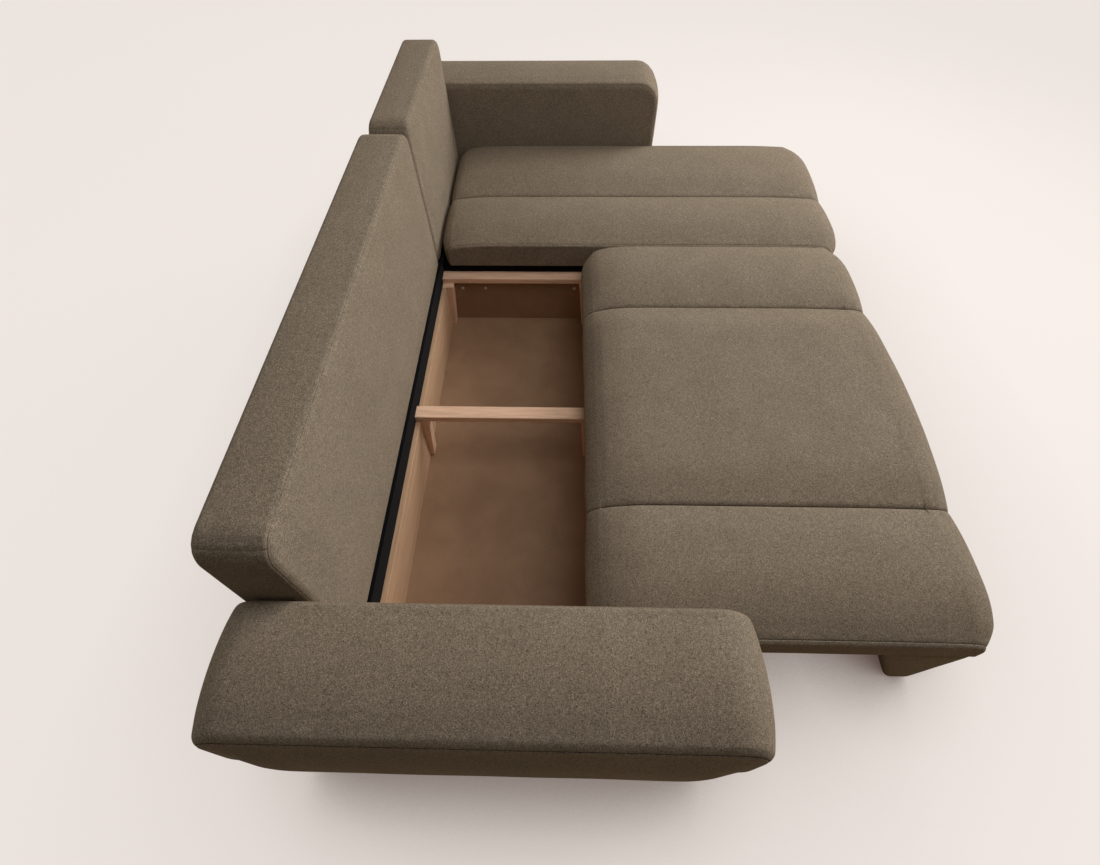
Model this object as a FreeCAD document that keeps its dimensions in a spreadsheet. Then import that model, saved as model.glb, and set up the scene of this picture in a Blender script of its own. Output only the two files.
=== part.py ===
"""Corner sofa with a seat that pulls out over a storage box, as a parametric FreeCAD document.

Frame: millimetres, +Z up, the front faces -Y, +X is the chaise end. The origin is on the floor at the
middle of the whole sofa. The seat is drawn pulled out, so that its front lines up with the chaise.
"""

import FreeCAD, Part
import Sketcher
import enum
import math
import os

DOC = FreeCAD.newDocument("StorageSofa")
SHEET = DOC.addObject("Spreadsheet::Sheet", "Sizes")


class Dim:
    """A size: its value in millimetres and the spreadsheet expression that gives it."""

    def __init__(self, value, text):
        self.value = float(value)
        self.text = text

    @staticmethod
    def of(other):
        return other if isinstance(other, Dim) else Dim(other, repr(float(other)))

    def __add__(self, other):
        other = Dim.of(other)
        return Dim(self.value + other.value, "(%s + %s)" % (self.text, other.text))

    def __sub__(self, other):
        other = Dim.of(other)
        return Dim(self.value - other.value, "(%s - %s)" % (self.text, other.text))

    def __mul__(self, other):
        other = Dim.of(other)
        return Dim(self.value * other.value, "(%s * %s)" % (self.text, other.text))

    def __truediv__(self, other):
        other = Dim.of(other)
        return Dim(self.value / other.value, "(%s / %s)" % (self.text, other.text))

    def __neg__(self):
        return Dim(-self.value, "(-1 * %s)" % self.text)

    __radd__ = __add__
    __rmul__ = __mul__


ZERO = Dim(0, "0")
QUARTER_SAGITTA = 1 - math.cos(math.pi / 4)  # height of a quarter round's arc, as a share of its radius


class SketchAxis(enum.IntEnum):
    """A sketch's own axes, as its constraints number them."""
    HORIZONTAL = -1
    VERTICAL = -2


class EdgePoint(enum.IntEnum):
    """The two ends of an edge, as a sketch's constraints number them."""
    START = 1
    END = 2


def size(alias, value, note):
    """Writes one driving size to the spreadsheet and returns it."""
    row = size.row
    SHEET.set("A%d" % row, alias)
    SHEET.set("B%d" % row, str(value))
    SHEET.set("C%d" % row, note)
    SHEET.setAlias("B%d" % row, alias)
    size.row += 1
    return Dim(value, "Sizes.%s" % alias)


size.row = 1

# ---- Whole sofa ----
overall_length = size("overall_length", 2800, "outside of one arm to outside of the other")
overall_depth = size("overall_depth", 1775, "rear of the arms to the front of the seats, pulled out")
floor_gap = size("floor_gap", 12, "upholstery to the floor, the height of a glide")
foot_height = size("foot_height", 40, "feet under the storage box and the chaise")
foot_radius = size("foot_radius", 25, "feet and glides, at the top")
foot_tip_radius = size("foot_tip_radius", 20, "feet and glides, at the floor")
foot_inset = size("foot_inset", 90, "edge of a frame to the middle of a foot")
soft_gap = size("soft_gap", 4, "between an arm and what stands beside it")
module_gap = size("module_gap", 8, "between the pull-out seat and the chaise cushion")
back_gap = size("back_gap", 10, "between the back cushions and the seats")

# ---- Arms ----
arm_width = size("arm_width", 270, "thickness of an arm")
arm_depth = size("arm_depth", 1108, "rear to front")
arm_height = size("arm_height", 680, "floor to the top seam")
arm_widest = size("arm_widest", 325, "height above its underside where an arm is widest")
arm_taper = size("arm_taper", 24, "how far the outside leans in towards the floor")
arm_lean = size("arm_lean", 4, "how far the outside leans in towards the top seam")
arm_crown = size("arm_crown", 18, "rise of the padded top over its seams")
arm_seam_edge = size("arm_seam_edge", 34, "round of the top edges at their seams")
arm_corner = size("arm_corner", 42, "round of the upright corners")
arm_front_edge = size("arm_front_edge", 85, "round of the top at the front")
arm_rear_edge = size("arm_rear_edge", 62, "round of the top at the rear")
arm_end_taper = size("arm_end_taper", 18, "how far each end leans in towards the floor")
arm_rear_lean = size("arm_rear_lean", 10, "how far the rear end leans in towards the top")
arm_padding = size("arm_padding", 42, "foam between the arm's cover and its frame")

# ---- Back ----
back_setback = size("back_setback", 33, "rear of the arms to the rear of the back")
back_tilt = size("back_tilt", 1.8, "lean of the front of the back cushions, in degrees")
back_thickness = size("back_thickness", 157, "rear to front, at the underside")
back_height = size("back_height", 880, "floor to the top")
back_overlap = size("back_overlap", 103, "top seam of the seats down to the underside of the back")
back_edge = size("back_edge", 28, "round of the top edges at their seams")
back_top_corner = size("back_top_corner", 60, "round of the top corners, seen from the front")
back_corner = size("back_corner", 26, "round of the upright corners")
back_bow = size("back_bow", 8, "how far the front of a back cushion swells")
back_clear = size("back_clear", 1, "front of a back cushion to the outline of its ends")
back_rear_padding = size("back_rear_padding", 45, "rear face to the back's frame")
back_frame_thickness = size("back_frame_thickness", 40, "posts and rails of the back's frame")
back_end_padding = size("back_end_padding", 46, "foam at the ends and the top of a back cushion")
back_post_width = size("back_post_width", 60, "a post of the back's frame, along the sofa")
rear_panel_thickness = size("rear_panel_thickness", 28, "upholstered panel under the back")
back_rail_height = size("back_rail_height", 150, "rail that ties the box and the chaise to the back")

# ---- Seats ----
seat_height = size("seat_height", 433, "floor to the top seams of the seats")
cushion_thickness = size("cushion_thickness", 116, "underside to the top seam")
cushion_crown = size("cushion_crown", 15, "rise of a channel over its seams")
cushion_seam_dip = size("cushion_seam_dip", 5, "how far a channel seam lies below the outer seams")
cushion_edge = size("cushion_edge", 24, "round of the long top edges")
cushion_dome = size("cushion_dome", 12, "how far the top falls away towards the front and rear")
cushion_end_edge = size("cushion_end_edge", 85, "round of the top at the front and rear")
cushion_undercut = size("cushion_undercut", 26, "front of a channel to the front of its underside")
cushion_undercut_bulge = size("cushion_undercut_bulge", 7, "swell of the front below its round")
cushion_foot_edge = size("cushion_foot_edge", 18, "round of the lower side edges")
cushion_corner = size("cushion_corner", 40, "round of the upright corners")
cushion_scallop = size("cushion_scallop", 15, "front of a channel to the front of its seams")
cushion_side_scallop = size("cushion_side_scallop", 28, "front of a channel to the front of the sides")
near_channel_width = size("near_channel_width", 360, "channel of the pull-out beside the arm")
middle_channel_width = size("middle_channel_width", 793, "middle channel of the pull-out")
far_channel_width = size("far_channel_width", 349, "channel of the pull-out beside the chaise")
chaise_channel_width = size("chaise_channel_width", 329, "channel of the chaise beside the pull-out")
travel = size("travel", 565, "how far the seat slides")

# ---- Frames under the seats ----
frame_height = size("frame_height", 48, "height of the rails")
rail_thickness = size("rail_thickness", 25, "thickness of the rails")
frame_inset = size("frame_inset", 28, "side of the pull-out seat to its frame, by the chaise")
frame_near_inset = size("frame_near_inset", 56, "side of the pull-out seat to its frame, by the arm")
frame_end_inset = size("frame_end_inset", 24, "rear of a cushion to its frame")
frame_front_inset = size("frame_front_inset", 72, "front of a cushion to its frame")
strap_thickness = size("strap_thickness", 2, "elastic webbing")
strap_width = size("strap_width", 60, "elastic webbing")
seat_strap_count = 7
chaise_strap_count = 10
dust_cloth = size("dust_cloth", 1, "black cloth under the pull-out")
running_gap = size("running_gap", 36, "dust cloth to the rim of the storage box")

# ---- Front panels ----
panel_inset = size("panel_inset", 5, "side of a cushion to the end of its front panel")
panel_front_inset = size("panel_front_inset", 30, "front of a cushion to the front panel, at the top")
panel_end_lean = size("panel_end_lean", 14, "how far each end leans in towards the floor")
panel_front_lean = size("panel_front_lean", 13, "how far the front face leans back towards the floor")
panel_top = size("panel_top", 230, "front to rear, at the top")
panel_bottom = size("panel_bottom", 70, "front to rear, at the floor")
panel_edge = size("panel_edge", 16, "round of the lower edges")
panel_floor_gap = size("panel_floor_gap", 6, "panel to the floor")
panel_corner = size("panel_corner", 14, "round of the upright corners")

# ---- Storage box ----
back_to_box = size("back_to_box", 5, "front of the back cushions to the rear of the box")
board = size("board", 16, "boards of the box")
box_floor = size("box_floor", 12, "floor panel")
bar_width = size("bar_width", 50, "rim bars")
bar_thickness = size("bar_thickness", 24, "rim bars and crossbar")
crossbar_width = size("crossbar_width", 50, "crossbar")
crossbar_offset = size("crossbar_offset", 706, "far wall to the middle of the crossbar")
post_length = size("post_length", 41, "posts, along the sofa")
post_top = size("post_top", 45, "posts, front to rear at the top")
post_bottom = size("post_bottom", 30, "posts, front to rear at the floor")
chaise_inset = size("chaise_inset", 16, "edge of the chaise cushion to the side panel below it")
side_panel = size("side_panel", 24, "thickness of the chaise's side panels")
spacer_length = size("spacer_length", 60, "blocks between an arm and the frame beside it")
spacer_gap = size("spacer_gap", 18, "those blocks to the slide above them")

# ---- Slides ----
box_setback = size("box_setback", 65, "arm to the near wall of the box")
slide_space = size("slide_space", 18, "room between a wall of the box and its neighbour")
slide_height = size("slide_height", 46, "outer member")
slide_width = size("slide_width", 13, "outer member")
slide_sheet = size("slide_sheet", 1.5, "sheet steel of the members")
slide_play = size("slide_play", 0.5, "between two members")
slide_lip = size("slide_lip", 3, "lips that hold the next member in")
slide_drop = size("slide_drop", 61, "rim of the box to the middle of the slides")
slide_front_gap = size("slide_front_gap", 6, "front of the box to the front of the outer member")
slide_rear_gap = size("slide_rear_gap", 24, "rear of the box to the rear of the outer member")
bracket_length = size("bracket_length", 60, "bracket between slide and seat frame")
bracket_sheet = size("bracket_sheet", 2.5, "sheet steel of the bracket")
bracket_gap = size("bracket_gap", 4, "bracket to the box with the seat closed")
bracket_setback = size("bracket_setback", 80, "front panel to the bracket")
screw_radius = size("screw_radius", 2.4, "slide screws")
screw_play = size("screw_play", 0.1, "slide screw in its hole")
screw_head_radius = size("screw_head_radius", 6.5, "slide screws")
screw_head = size("screw_head", 3, "height of a screw's head")
screw_first = size("screw_first", 76, "rear of the box to the first screw")
screw_second = size("screw_second", 172, "rear of the box to the second screw")
screw_third = size("screw_third", 65, "front of the box to the third screw")

# ---- Castors ----
wheel_radius = size("wheel_radius", 20, "castor wheel")
wheel_width = size("wheel_width", 22, "castor wheel")
tyre_depth = size("tyre_depth", 4, "rubber tyre of the wheel")
tyre_round = size("tyre_round", 2, "round of the tyre's shoulders")
axle_radius = size("axle_radius", 3, "castor axle")
axle_play = size("axle_play", 0.05, "axle in the wheel's bore")
cheek_sheet = size("cheek_sheet", 2, "sheet steel of the castor bracket")
cheek_play = size("cheek_play", 1, "wheel to a cheek of the bracket")
castor_pocket_play = size("castor_pocket_play", 1, "castor bracket in its pocket")
castor_length = size("castor_length", 44, "castor bracket, front to rear")
castor_height = size("castor_height", 50, "floor to the top of the castor bracket")
castor_setback = size("castor_setback", 76, "front of the cushion to the wheel's axle")
castor_inset = size("castor_inset", 120, "end of the front panel to a castor")

# ---- Places that follow from the sizes ----
x_arm = overall_length / 2 - arm_width
x_seat_near = soft_gap - x_arm
seat_width = near_channel_width + middle_channel_width + far_channel_width
x_seat_far = x_seat_near + seat_width
x_joint = x_seat_far + module_gap / 2
x_chaise_near = x_seat_far + module_gap
x_chaise_far = x_arm - soft_gap
chaise_width = x_chaise_far - x_chaise_near
x_chaise_side = x_chaise_near + chaise_inset

y_arm_rear = overall_depth / 2
y_arm_front = y_arm_rear - arm_depth
y_back_rear = y_arm_rear - back_setback
y_back_front = y_back_rear - back_thickness
y_chaise_rear = y_back_front - back_gap
y_front = -overall_depth / 2
chaise_depth = y_chaise_rear - y_front
y_seat_rear = y_chaise_rear - travel
seat_depth = y_seat_rear - y_front
y_frame_posts = y_back_rear - back_rear_padding - back_frame_thickness

back_bottom = seat_height - back_overlap
z_frame = seat_height - cushion_thickness
z_frame_top = z_frame + frame_height
z_rim = z_frame - dust_cloth - running_gap
z_wall_top = z_rim - bar_thickness
z_box_floor = foot_height + box_floor
wall_height = z_wall_top - z_box_floor

x_far_wall = x_chaise_side - slide_space - board
x_near_wall = box_setback - x_arm
x_box_near = x_near_wall + board
y_bracket = y_front + panel_front_inset + panel_top + bracket_setback
y_box_rear = y_back_front - back_to_box
y_box_front = y_bracket + bracket_length + travel + bracket_gap
box_depth = y_box_rear - y_box_front
x_crossbar = x_far_wall - crossbar_offset - crossbar_width / 2
x_slide_mirror = (x_far_wall + board + x_near_wall) / 2

z_slide = z_rim - slide_drop
y_slide = y_box_front + slide_front_gap
slide_length = box_depth - slide_front_gap - slide_rear_gap


# ---- Building blocks ----
def bind(item, values):
    """Sets properties of an object from sizes: the value now, and the expression that keeps it."""
    for name, dim in values.items():
        dim = Dim.of(dim)
        if "." not in name:
            setattr(item, name, dim.value)
        item.setExpression(name, dim.text)
    return item


def place(item, x=ZERO, y=ZERO, z=ZERO):
    """Binds an object's position."""
    return bind(item, {"Placement.Base.x": x, "Placement.Base.y": y, "Placement.Base.z": z})


def block(label, x, y, z, length, depth, height):
    """A plain board or block with its lowest corner at x, y, z."""
    item = DOC.addObject("Part::Box", label)
    item.Label = label
    bind(item, {"Length": length, "Width": depth, "Height": height})
    return place(item, x, y, z)


def rod(label, x, y, z, radius, length, along="Z"):
    """A round bar that starts at x, y, z and runs along one axis."""
    item = DOC.addObject("Part::Cylinder", label)
    item.Label = label
    bind(item, {"Radius": radius, "Height": length})
    if along == "X":
        item.Placement.Rotation = FreeCAD.Rotation(FreeCAD.Vector(0, 1, 0), 90)
    return place(item, x, y, z)


def group(label, items):
    """One sub-part made of several separate solids."""
    item = DOC.addObject("Part::Compound", label)
    item.Label = label
    item.Links = items
    return item


def cut(label, base, tools):
    """The base with the tools taken away."""
    tool = tools[0]
    if len(tools) > 1:
        tool = DOC.addObject("Part::Compound", label + "_tools")
        tool.Links = tools
    item = DOC.addObject("Part::Cut", label)
    item.Label = label
    item.Base = base
    item.Tool = tool
    return item


def mirror(label, source, x_plane):
    """The source mirrored in an upright plane across the sofa."""
    item = DOC.addObject("Part::Mirroring", label)
    item.Label = label
    item.Source = source
    item.Normal = FreeCAD.Vector(1, 0, 0)
    return bind(item, {"Base.x": x_plane})


def segment(start, end, bulge):
    """A sketch edge from start to end, swelling to its right by bulge."""
    a = FreeCAD.Vector(start[0].value, start[1].value, 0)
    b = FreeCAD.Vector(end[0].value, end[1].value, 0)
    if bulge is None:
        return Part.LineSegment(a, b), None
    run, rise = end[0] - start[0], end[1] - start[1]
    radius = ((run * run + rise * rise) / 4 + bulge * bulge) / (bulge * 2)
    chord = (b - a).normalize()
    middle = (a + b) / 2
    right = FreeCAD.Vector(chord.y, -chord.x, 0)
    return Part.Arc(a, middle + right * bulge.value, b), radius


def outline(body, plane, points):
    """A closed, fully bound sketch on one of the body's own planes.

    points run anticlockwise, each (u, v, bulge): the place, and how far the edge after it swells.
    """
    sketch = body.newObject("Sketcher::SketchObject", body.Name + "_outline")
    support = [f for f in body.Origin.OriginFeatures if f.Role == plane + "_Plane"][0]
    sketch.AttachmentSupport = [(support, "")]
    sketch.MapMode = "FlatFace"
    last = len(points)
    radii = []
    for i in range(last):
        edge, radius = segment(points[i], points[(i + 1) % last], points[i][2])
        sketch.addGeometry(edge, False)
        radii.append(radius)
    starts = []
    for i in range(last):
        # Part.Arc may store a clockwise arc the other way round, so each edge's true start is looked up.
        first = sketch.getPoint(i, EdgePoint.START)
        near = abs(first.x - points[i][0].value) + abs(first.y - points[i][1].value) < 1e-6
        starts.append(EdgePoint.START if near else EdgePoint.END)
    for i in range(last):
        j = (i + 1) % last
        end = EdgePoint.END if starts[i] == EdgePoint.START else EdgePoint.START
        sketch.addConstraint(Sketcher.Constraint("Coincident", i, end, j, starts[j]))
    origin = (SketchAxis.HORIZONTAL, EdgePoint.START)
    for i in range(last):
        for axis, kind, dim in ((SketchAxis.VERTICAL, "DistanceX", points[i][0]),
                                (SketchAxis.HORIZONTAL, "DistanceY", points[i][1])):
            if dim is ZERO:
                sketch.addConstraint(Sketcher.Constraint("PointOnObject", i, starts[i], axis))
                continue
            at = sketch.addConstraint(Sketcher.Constraint(kind, *origin, i, starts[i], dim.value))
            sketch.setExpression("Constraints[%d]" % at, dim.text)
        if radii[i] is not None:
            at = sketch.addConstraint(Sketcher.Constraint("Radius", i, radii[i].value))
            sketch.setExpression("Constraints[%d]" % at, radii[i].text)
    return sketch


def extrusion(label, plane, points, length):
    """A body padded from one outline: XZ outlines run to +Y, YZ ones to +X and XY ones to +Z."""
    body = DOC.addObject("PartDesign::Body", label)
    body.Label = label
    pad = body.newObject("PartDesign::Pad", label + "_pad")
    pad.Profile = outline(body, plane, points)
    pad.Reversed = plane == "XZ"
    bind(pad, {"Length": length})
    body.Tip = pad
    return body


def common(label, items):
    """What several bodies share, as a shape drawn in three views."""
    item = DOC.addObject("Part::MultiCommon", label)
    item.Label = label
    item.Shapes = items
    return item


def rounded(dim):
    """The bulge of a quarter round of that radius."""
    return dim * QUARTER_SAGITTA


# ---- Upholstered pieces ----
def plan_view(length, depth, corner):
    """Outline from above: a rectangle with round corners."""
    return [
        (corner, ZERO, None),
        (length - corner, ZERO, rounded(corner)),
        (length, corner, None),
        (length, depth - corner, rounded(corner)),
        (length - corner, depth, None),
        (corner, depth, rounded(corner)),
        (ZERO, depth - corner, None),
        (ZERO, corner, rounded(corner)),
    ]


def arm():
    """The arm on the pull-out's side, hollow from below for its frame."""
    height = arm_height - floor_gap
    section = [
        (arm_taper, ZERO, None),
        (arm_width, ZERO, None),
        (arm_width, height - arm_seam_edge, rounded(arm_seam_edge)),
        (arm_width - arm_seam_edge, height, arm_crown),
        (arm_lean + arm_seam_edge, height, rounded(arm_seam_edge)),
        (arm_lean, height - arm_seam_edge, None),
        (ZERO, arm_widest, None),
    ]
    side = [
        (arm_end_taper, ZERO, None),
        (arm_depth - arm_end_taper, ZERO, None),
        (arm_depth, arm_widest, None),
        (arm_depth - arm_rear_lean, height + arm_crown - arm_rear_edge, rounded(arm_rear_edge)),
        (arm_depth - arm_rear_lean - arm_rear_edge, height + arm_crown, None),
        (arm_front_edge, height + arm_crown, rounded(arm_front_edge)),
        (ZERO, height + arm_crown - arm_front_edge, None),
        (ZERO, arm_widest, None),
    ]
    shape = common("arm_form", [
        extrusion("arm_section", "XZ", section, arm_depth),
        extrusion("arm_side", "YZ", side, arm_width),
        extrusion("arm_plan", "XY", plan_view(arm_width, arm_depth, arm_corner), height + arm_crown),
    ])
    place(shape, -overall_length / 2, y_arm_front, floor_gap)
    pocket = block("arm_pocket", arm_pocket_x(), y_arm_front + arm_corner + arm_padding, floor_gap,
                   arm_width - arm_taper - arm_padding * 2,
                   arm_depth - arm_corner * 2 - arm_padding * 2, height - arm_padding)
    return cut("left_arm", shape, [pocket])


def arm_pocket_x():
    """Outer face of the arm's frame."""
    return arm_taper + arm_padding - overall_length / 2


def arm_frame():
    """The arm's frame of boards, which fills the pocket."""
    x, y, z = arm_pocket_x(), y_arm_front + arm_corner + arm_padding, floor_gap
    length = arm_width - arm_taper - arm_padding * 2
    depth = arm_depth - arm_corner * 2 - arm_padding * 2
    height = arm_height - floor_gap - arm_padding
    inner, clear = length - board * 2, height - board * 2
    return group("left_arm_frame", [
        block("arm_outer_board", x, y, z, board, depth, height),
        block("arm_inner_board", x + length - board, y, z, board, depth, height),
        block("arm_top_board", x + board, y, z + height - board, inner, depth, board),
        block("arm_base_board", x + board, y, z, inner, depth, board),
        block("arm_front_board", x + board, y, z + board, inner, board, clear),
        block("arm_rear_board", x + board, y + depth - board, z + board, inner, board, clear),
        block("arm_middle_board", x + board, y + depth / 2, z + board, inner, board, clear),
    ])


def back_cushion(label, x, length):
    """A back cushion: its front leans and swells, its rear is upright, and a slot takes its frame."""
    height = back_height - back_bottom
    full = back_thickness + back_bow
    shift = Dim(math.tan(math.radians(back_tilt.value)), "tan(%s * 1 deg)" % back_tilt.text)
    seam = height - back_edge
    lean = seam * shift - back_clear
    side = [
        (-back_clear, ZERO, None),
        (full, ZERO, None),
        (full, seam, rounded(back_edge)),
        (full - back_edge, height, None),
        (lean + back_edge, height, rounded(back_edge)),
        (lean, seam, None),
    ]
    section = [
        (ZERO, ZERO, None),
        (length, ZERO, None),
        (length, height - back_top_corner, rounded(back_top_corner)),
        (length - back_top_corner, height, None),
        (back_top_corner, height, rounded(back_top_corner)),
        (ZERO, height - back_top_corner, None),
    ]
    rear = [
        (ZERO, ZERO, None),
        (length, ZERO, None),
        (length, full - back_corner, rounded(back_corner)),
        (length - back_corner, full, None),
        (back_corner, full, rounded(back_corner)),
        (ZERO, full - back_corner, None),
    ]
    front = [
        (back_corner, back_bow, back_bow),
        (length - back_corner, back_bow, rounded(back_corner)),
        (length, back_bow + back_corner, None),
        (length, full * 2, None),
        (ZERO, full * 2, None),
        (ZERO, back_bow + back_corner, rounded(back_corner)),
    ]
    leaning = extrusion(label + "_front", "XY", front, height + back_edge)
    leaning.Placement.Rotation = FreeCAD.Rotation(FreeCAD.Vector(-1, 0, 0), back_tilt.value)
    leaning.setExpression("Placement.Rotation.Angle", back_tilt.text)
    shape = common(label + "_form", [
        extrusion(label + "_section", "XZ", section, full),
        extrusion(label + "_side", "YZ", side, length),
        extrusion(label + "_rear", "XY", rear, height),
        leaning,
    ])
    place(shape, x, y_back_front - back_bow, back_bottom)
    slot = block(label + "_slot", x + back_end_padding, y_frame_posts, back_bottom,
                 length - back_end_padding * 2, back_frame_thickness, height - back_end_padding)
    return cut(label, shape, [slot])


def back_frame(label, x, length, posts):
    """Posts and rails of a back cushion's frame, standing on the floor panel's level."""
    left, inner = x + back_end_padding, length - back_end_padding * 2
    top = back_height - back_end_padding
    step = (inner - back_post_width) / (posts - 1)
    boards = [block("%s_post_%d" % (label, i), left + step * i, y_frame_posts, floor_gap,
                    back_post_width, back_frame_thickness, top - floor_gap) for i in range(posts)]
    clear = step - back_post_width
    for i in range(posts - 1):
        at = left + step * i + back_post_width
        for name, z in (("top", top - back_post_width), ("seat", back_bottom), ("low", foot_height)):
            boards.append(block("%s_%s_rail_%d" % (label, name, i), at, y_frame_posts, z,
                                clear, back_frame_thickness, back_post_width))
    return group(label, boards)


def channelled_cushion(label, x, y, widths, depth, frame):
    """An upholstered seat sewn into channels front to rear, hollow from below for its frame."""
    length = widths[0]
    seams = []
    for width in widths[1:]:
        seams.append(length)
        length = length + width
    top, low = cushion_thickness, cushion_thickness - cushion_seam_dip
    section = [(cushion_foot_edge, ZERO, None),
               (length - cushion_foot_edge, ZERO, rounded(cushion_foot_edge)),
               (length, cushion_foot_edge, None), (length, top - cushion_edge, rounded(cushion_edge)),
               (length - cushion_edge, top, cushion_crown)]
    section += [(seam, low, cushion_crown) for seam in reversed(seams)]
    section += [(cushion_edge, top, rounded(cushion_edge)), (ZERO, top - cushion_edge, None),
                (ZERO, cushion_foot_edge, rounded(cushion_foot_edge))]
    full = top + cushion_crown
    end = full - cushion_dome
    side = [(cushion_undercut, ZERO, None), (depth, ZERO, None),
            (depth, end - cushion_end_edge, rounded(cushion_end_edge)),
            (depth - cushion_end_edge, end, cushion_dome),
            (cushion_end_edge, end, rounded(cushion_end_edge)),
            (ZERO, end - cushion_end_edge, cushion_undercut_bulge)]
    starts = [(cushion_corner, cushion_side_scallop)]
    starts += [(seam, cushion_scallop) for seam in seams]
    starts.append((length - cushion_corner, cushion_side_scallop))
    plan = [(a[0], a[1], (a[1] + b[1]) / 2) for a, b in zip(starts, starts[1:])]
    plan += [(length - cushion_corner, cushion_side_scallop, rounded(cushion_corner)),
             (length, cushion_side_scallop + cushion_corner, None),
             (length, depth - cushion_corner, rounded(cushion_corner)),
             (length - cushion_corner, depth, None), (cushion_corner, depth, rounded(cushion_corner)),
             (ZERO, depth - cushion_corner, None),
             (ZERO, cushion_side_scallop + cushion_corner, rounded(cushion_corner))]
    shape = common(label + "_form", [
        extrusion(label + "_section", "XZ", section, depth),
        extrusion(label + "_side", "YZ", side, length),
        extrusion(label + "_plan", "XY", plan, full),
    ])
    place(shape, x, y, z_frame)
    frame_x, frame_length, frame_y, frame_depth = frame
    pocket = block(label + "_pocket", frame_x, frame_y, z_frame, frame_length, frame_depth,
                   frame_height + strap_thickness)
    return cut(label, shape, [pocket])


def front_panel(label, x, length, pockets=()):
    """The wedge-shaped panel under the front of a seat, with pockets for castors."""
    height = z_frame - panel_floor_gap
    front = panel_front_inset + panel_front_lean
    edge = rounded(panel_edge)
    side = [
        (front + panel_edge, ZERO, None),
        (front + panel_bottom - panel_edge, ZERO, edge),
        (front + panel_bottom, panel_edge, None),
        (panel_front_inset + panel_top, height, None),
        (panel_front_inset, height, None),
        (front, panel_edge, edge),
    ]
    section = [
        (panel_end_lean + panel_edge, ZERO, None),
        (length - panel_end_lean - panel_edge, ZERO, edge),
        (length - panel_end_lean, panel_edge, None),
        (length, height, None),
        (ZERO, height, None),
        (panel_end_lean, panel_edge, edge),
    ]
    plan = plan_view(length, panel_top, panel_corner)
    plan = [(u, v + panel_front_inset, bulge) for u, v, bulge in plan]
    shape = common(label + "_form" if pockets else label, [
        extrusion(label + "_section", "XZ", section, panel_front_inset + panel_top),
        extrusion(label + "_side", "YZ", side, length),
        extrusion(label + "_plan", "XY", plan, height),
    ])
    place(shape, x, y_front, panel_floor_gap)
    return cut(label, shape, list(pockets)) if pockets else shape


# ---- Frames ----
def seat_frame(label, x, length, y, depth, crosses):
    """Rails on edge round a seat, with rails front to rear under its seams."""
    t, inner = rail_thickness, depth - rail_thickness * 2
    rails = [
        block(label + "_front_rail", x, y, z_frame, length, t, frame_height),
        block(label + "_rear_rail", x, y + depth - t, z_frame, length, t, frame_height),
        block(label + "_near_rail", x, y + t, z_frame, t, inner, frame_height),
        block(label + "_far_rail", x + length - t, y + t, z_frame, t, inner, frame_height),
    ]
    for i, at in enumerate(crosses):
        rails.append(block("%s_cross_rail_%d" % (label, i), at - t / 2, y + t, z_frame,
                           t, inner, frame_height))
    return group(label, rails)


def webbing(label, x, length, y, depth, count):
    """Elastic straps across a frame, evenly spaced."""
    step = (depth - strap_width) / (count - 1)
    return group(label, [block("%s_%d" % (label, i), x, y + step * i, z_frame_top,
                               length, strap_width, strap_thickness) for i in range(count)])


# ---- Storage box ----
def box_post(label, x, rear):
    """A post of the storage box, tapered towards the floor, with its outside flush with the box."""
    top_edge, foot = post_top, post_bottom
    if rear:
        points = [(top_edge - foot, ZERO, None), (top_edge, ZERO, None),
                  (top_edge, wall_height, None), (ZERO, wall_height, None)]
        y = y_box_rear - top_edge
    else:
        points = [(ZERO, ZERO, None), (foot, ZERO, None),
                  (top_edge, wall_height, None), (ZERO, wall_height, None)]
        y = y_box_front
    return place(extrusion(label, "YZ", points, post_length), x, y, z_box_floor)


def screw_places():
    """Where the slide screws sit, front to rear."""
    return [y_box_rear - screw_first, y_box_rear - screw_second, y_box_front + screw_third]


def far_wall():
    """The wall beside the chaise, drilled for the slide screws."""
    wall = block("far_wall_board", x_far_wall, y_box_front, z_box_floor, board, box_depth, wall_height)
    holes = [rod("far_wall_hole_%d" % i, x_far_wall, y, z_slide, screw_radius + screw_play, board, "X")
             for i, y in enumerate(screw_places())]
    return cut("box_far_wall", wall, holes)


def slide_screws():
    """The screws that hold the outer member to the far wall, heads inside the box."""
    screws = []
    for i, y in enumerate(screw_places()):
        head = rod("screw_head_%d" % i, x_far_wall - screw_head, y, z_slide, screw_head_radius,
                   screw_head, "X")
        shank = rod("screw_shank_%d" % i, x_far_wall, y, z_slide, screw_radius,
                    board + slide_sheet, "X")
        both = DOC.addObject("Part::Fuse", "slide_screw_%d" % i)
        both.Base, both.Tool = head, shank
        screws.append(both)
    return group("slide_screws_far", screws)


# ---- Slides ----
def slide_member(label, inset, reach, y, length, lipped):
    """One member of a full-extension slide on the far wall: a channel that opens away from the wall.

    inset is how deep it nests in the outer member, and reach how far it stands off the wall.
    """
    x = x_far_wall + board + inset
    half = slide_height / 2 - inset
    width = reach - inset
    t, height = slide_sheet, half * 2
    points = [(ZERO, ZERO, None), (width, ZERO, None)]
    if lipped:
        points += [(width, slide_lip, None), (width - t, slide_lip, None), (width - t, t, None)]
    else:
        points += [(width, t, None)]
    points += [(t, t, None), (t, height - t, None)]
    if lipped:
        points += [(width - t, height - t, None), (width - t, height - slide_lip, None),
                   (width, height - slide_lip, None), (width, height, None)]
    else:
        points += [(width, height - t, None), (width, height, None)]
    points.append((ZERO, height, None))
    member = extrusion(label, "XZ", points, length)
    return place(member, x, y, z_slide - half)


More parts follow.
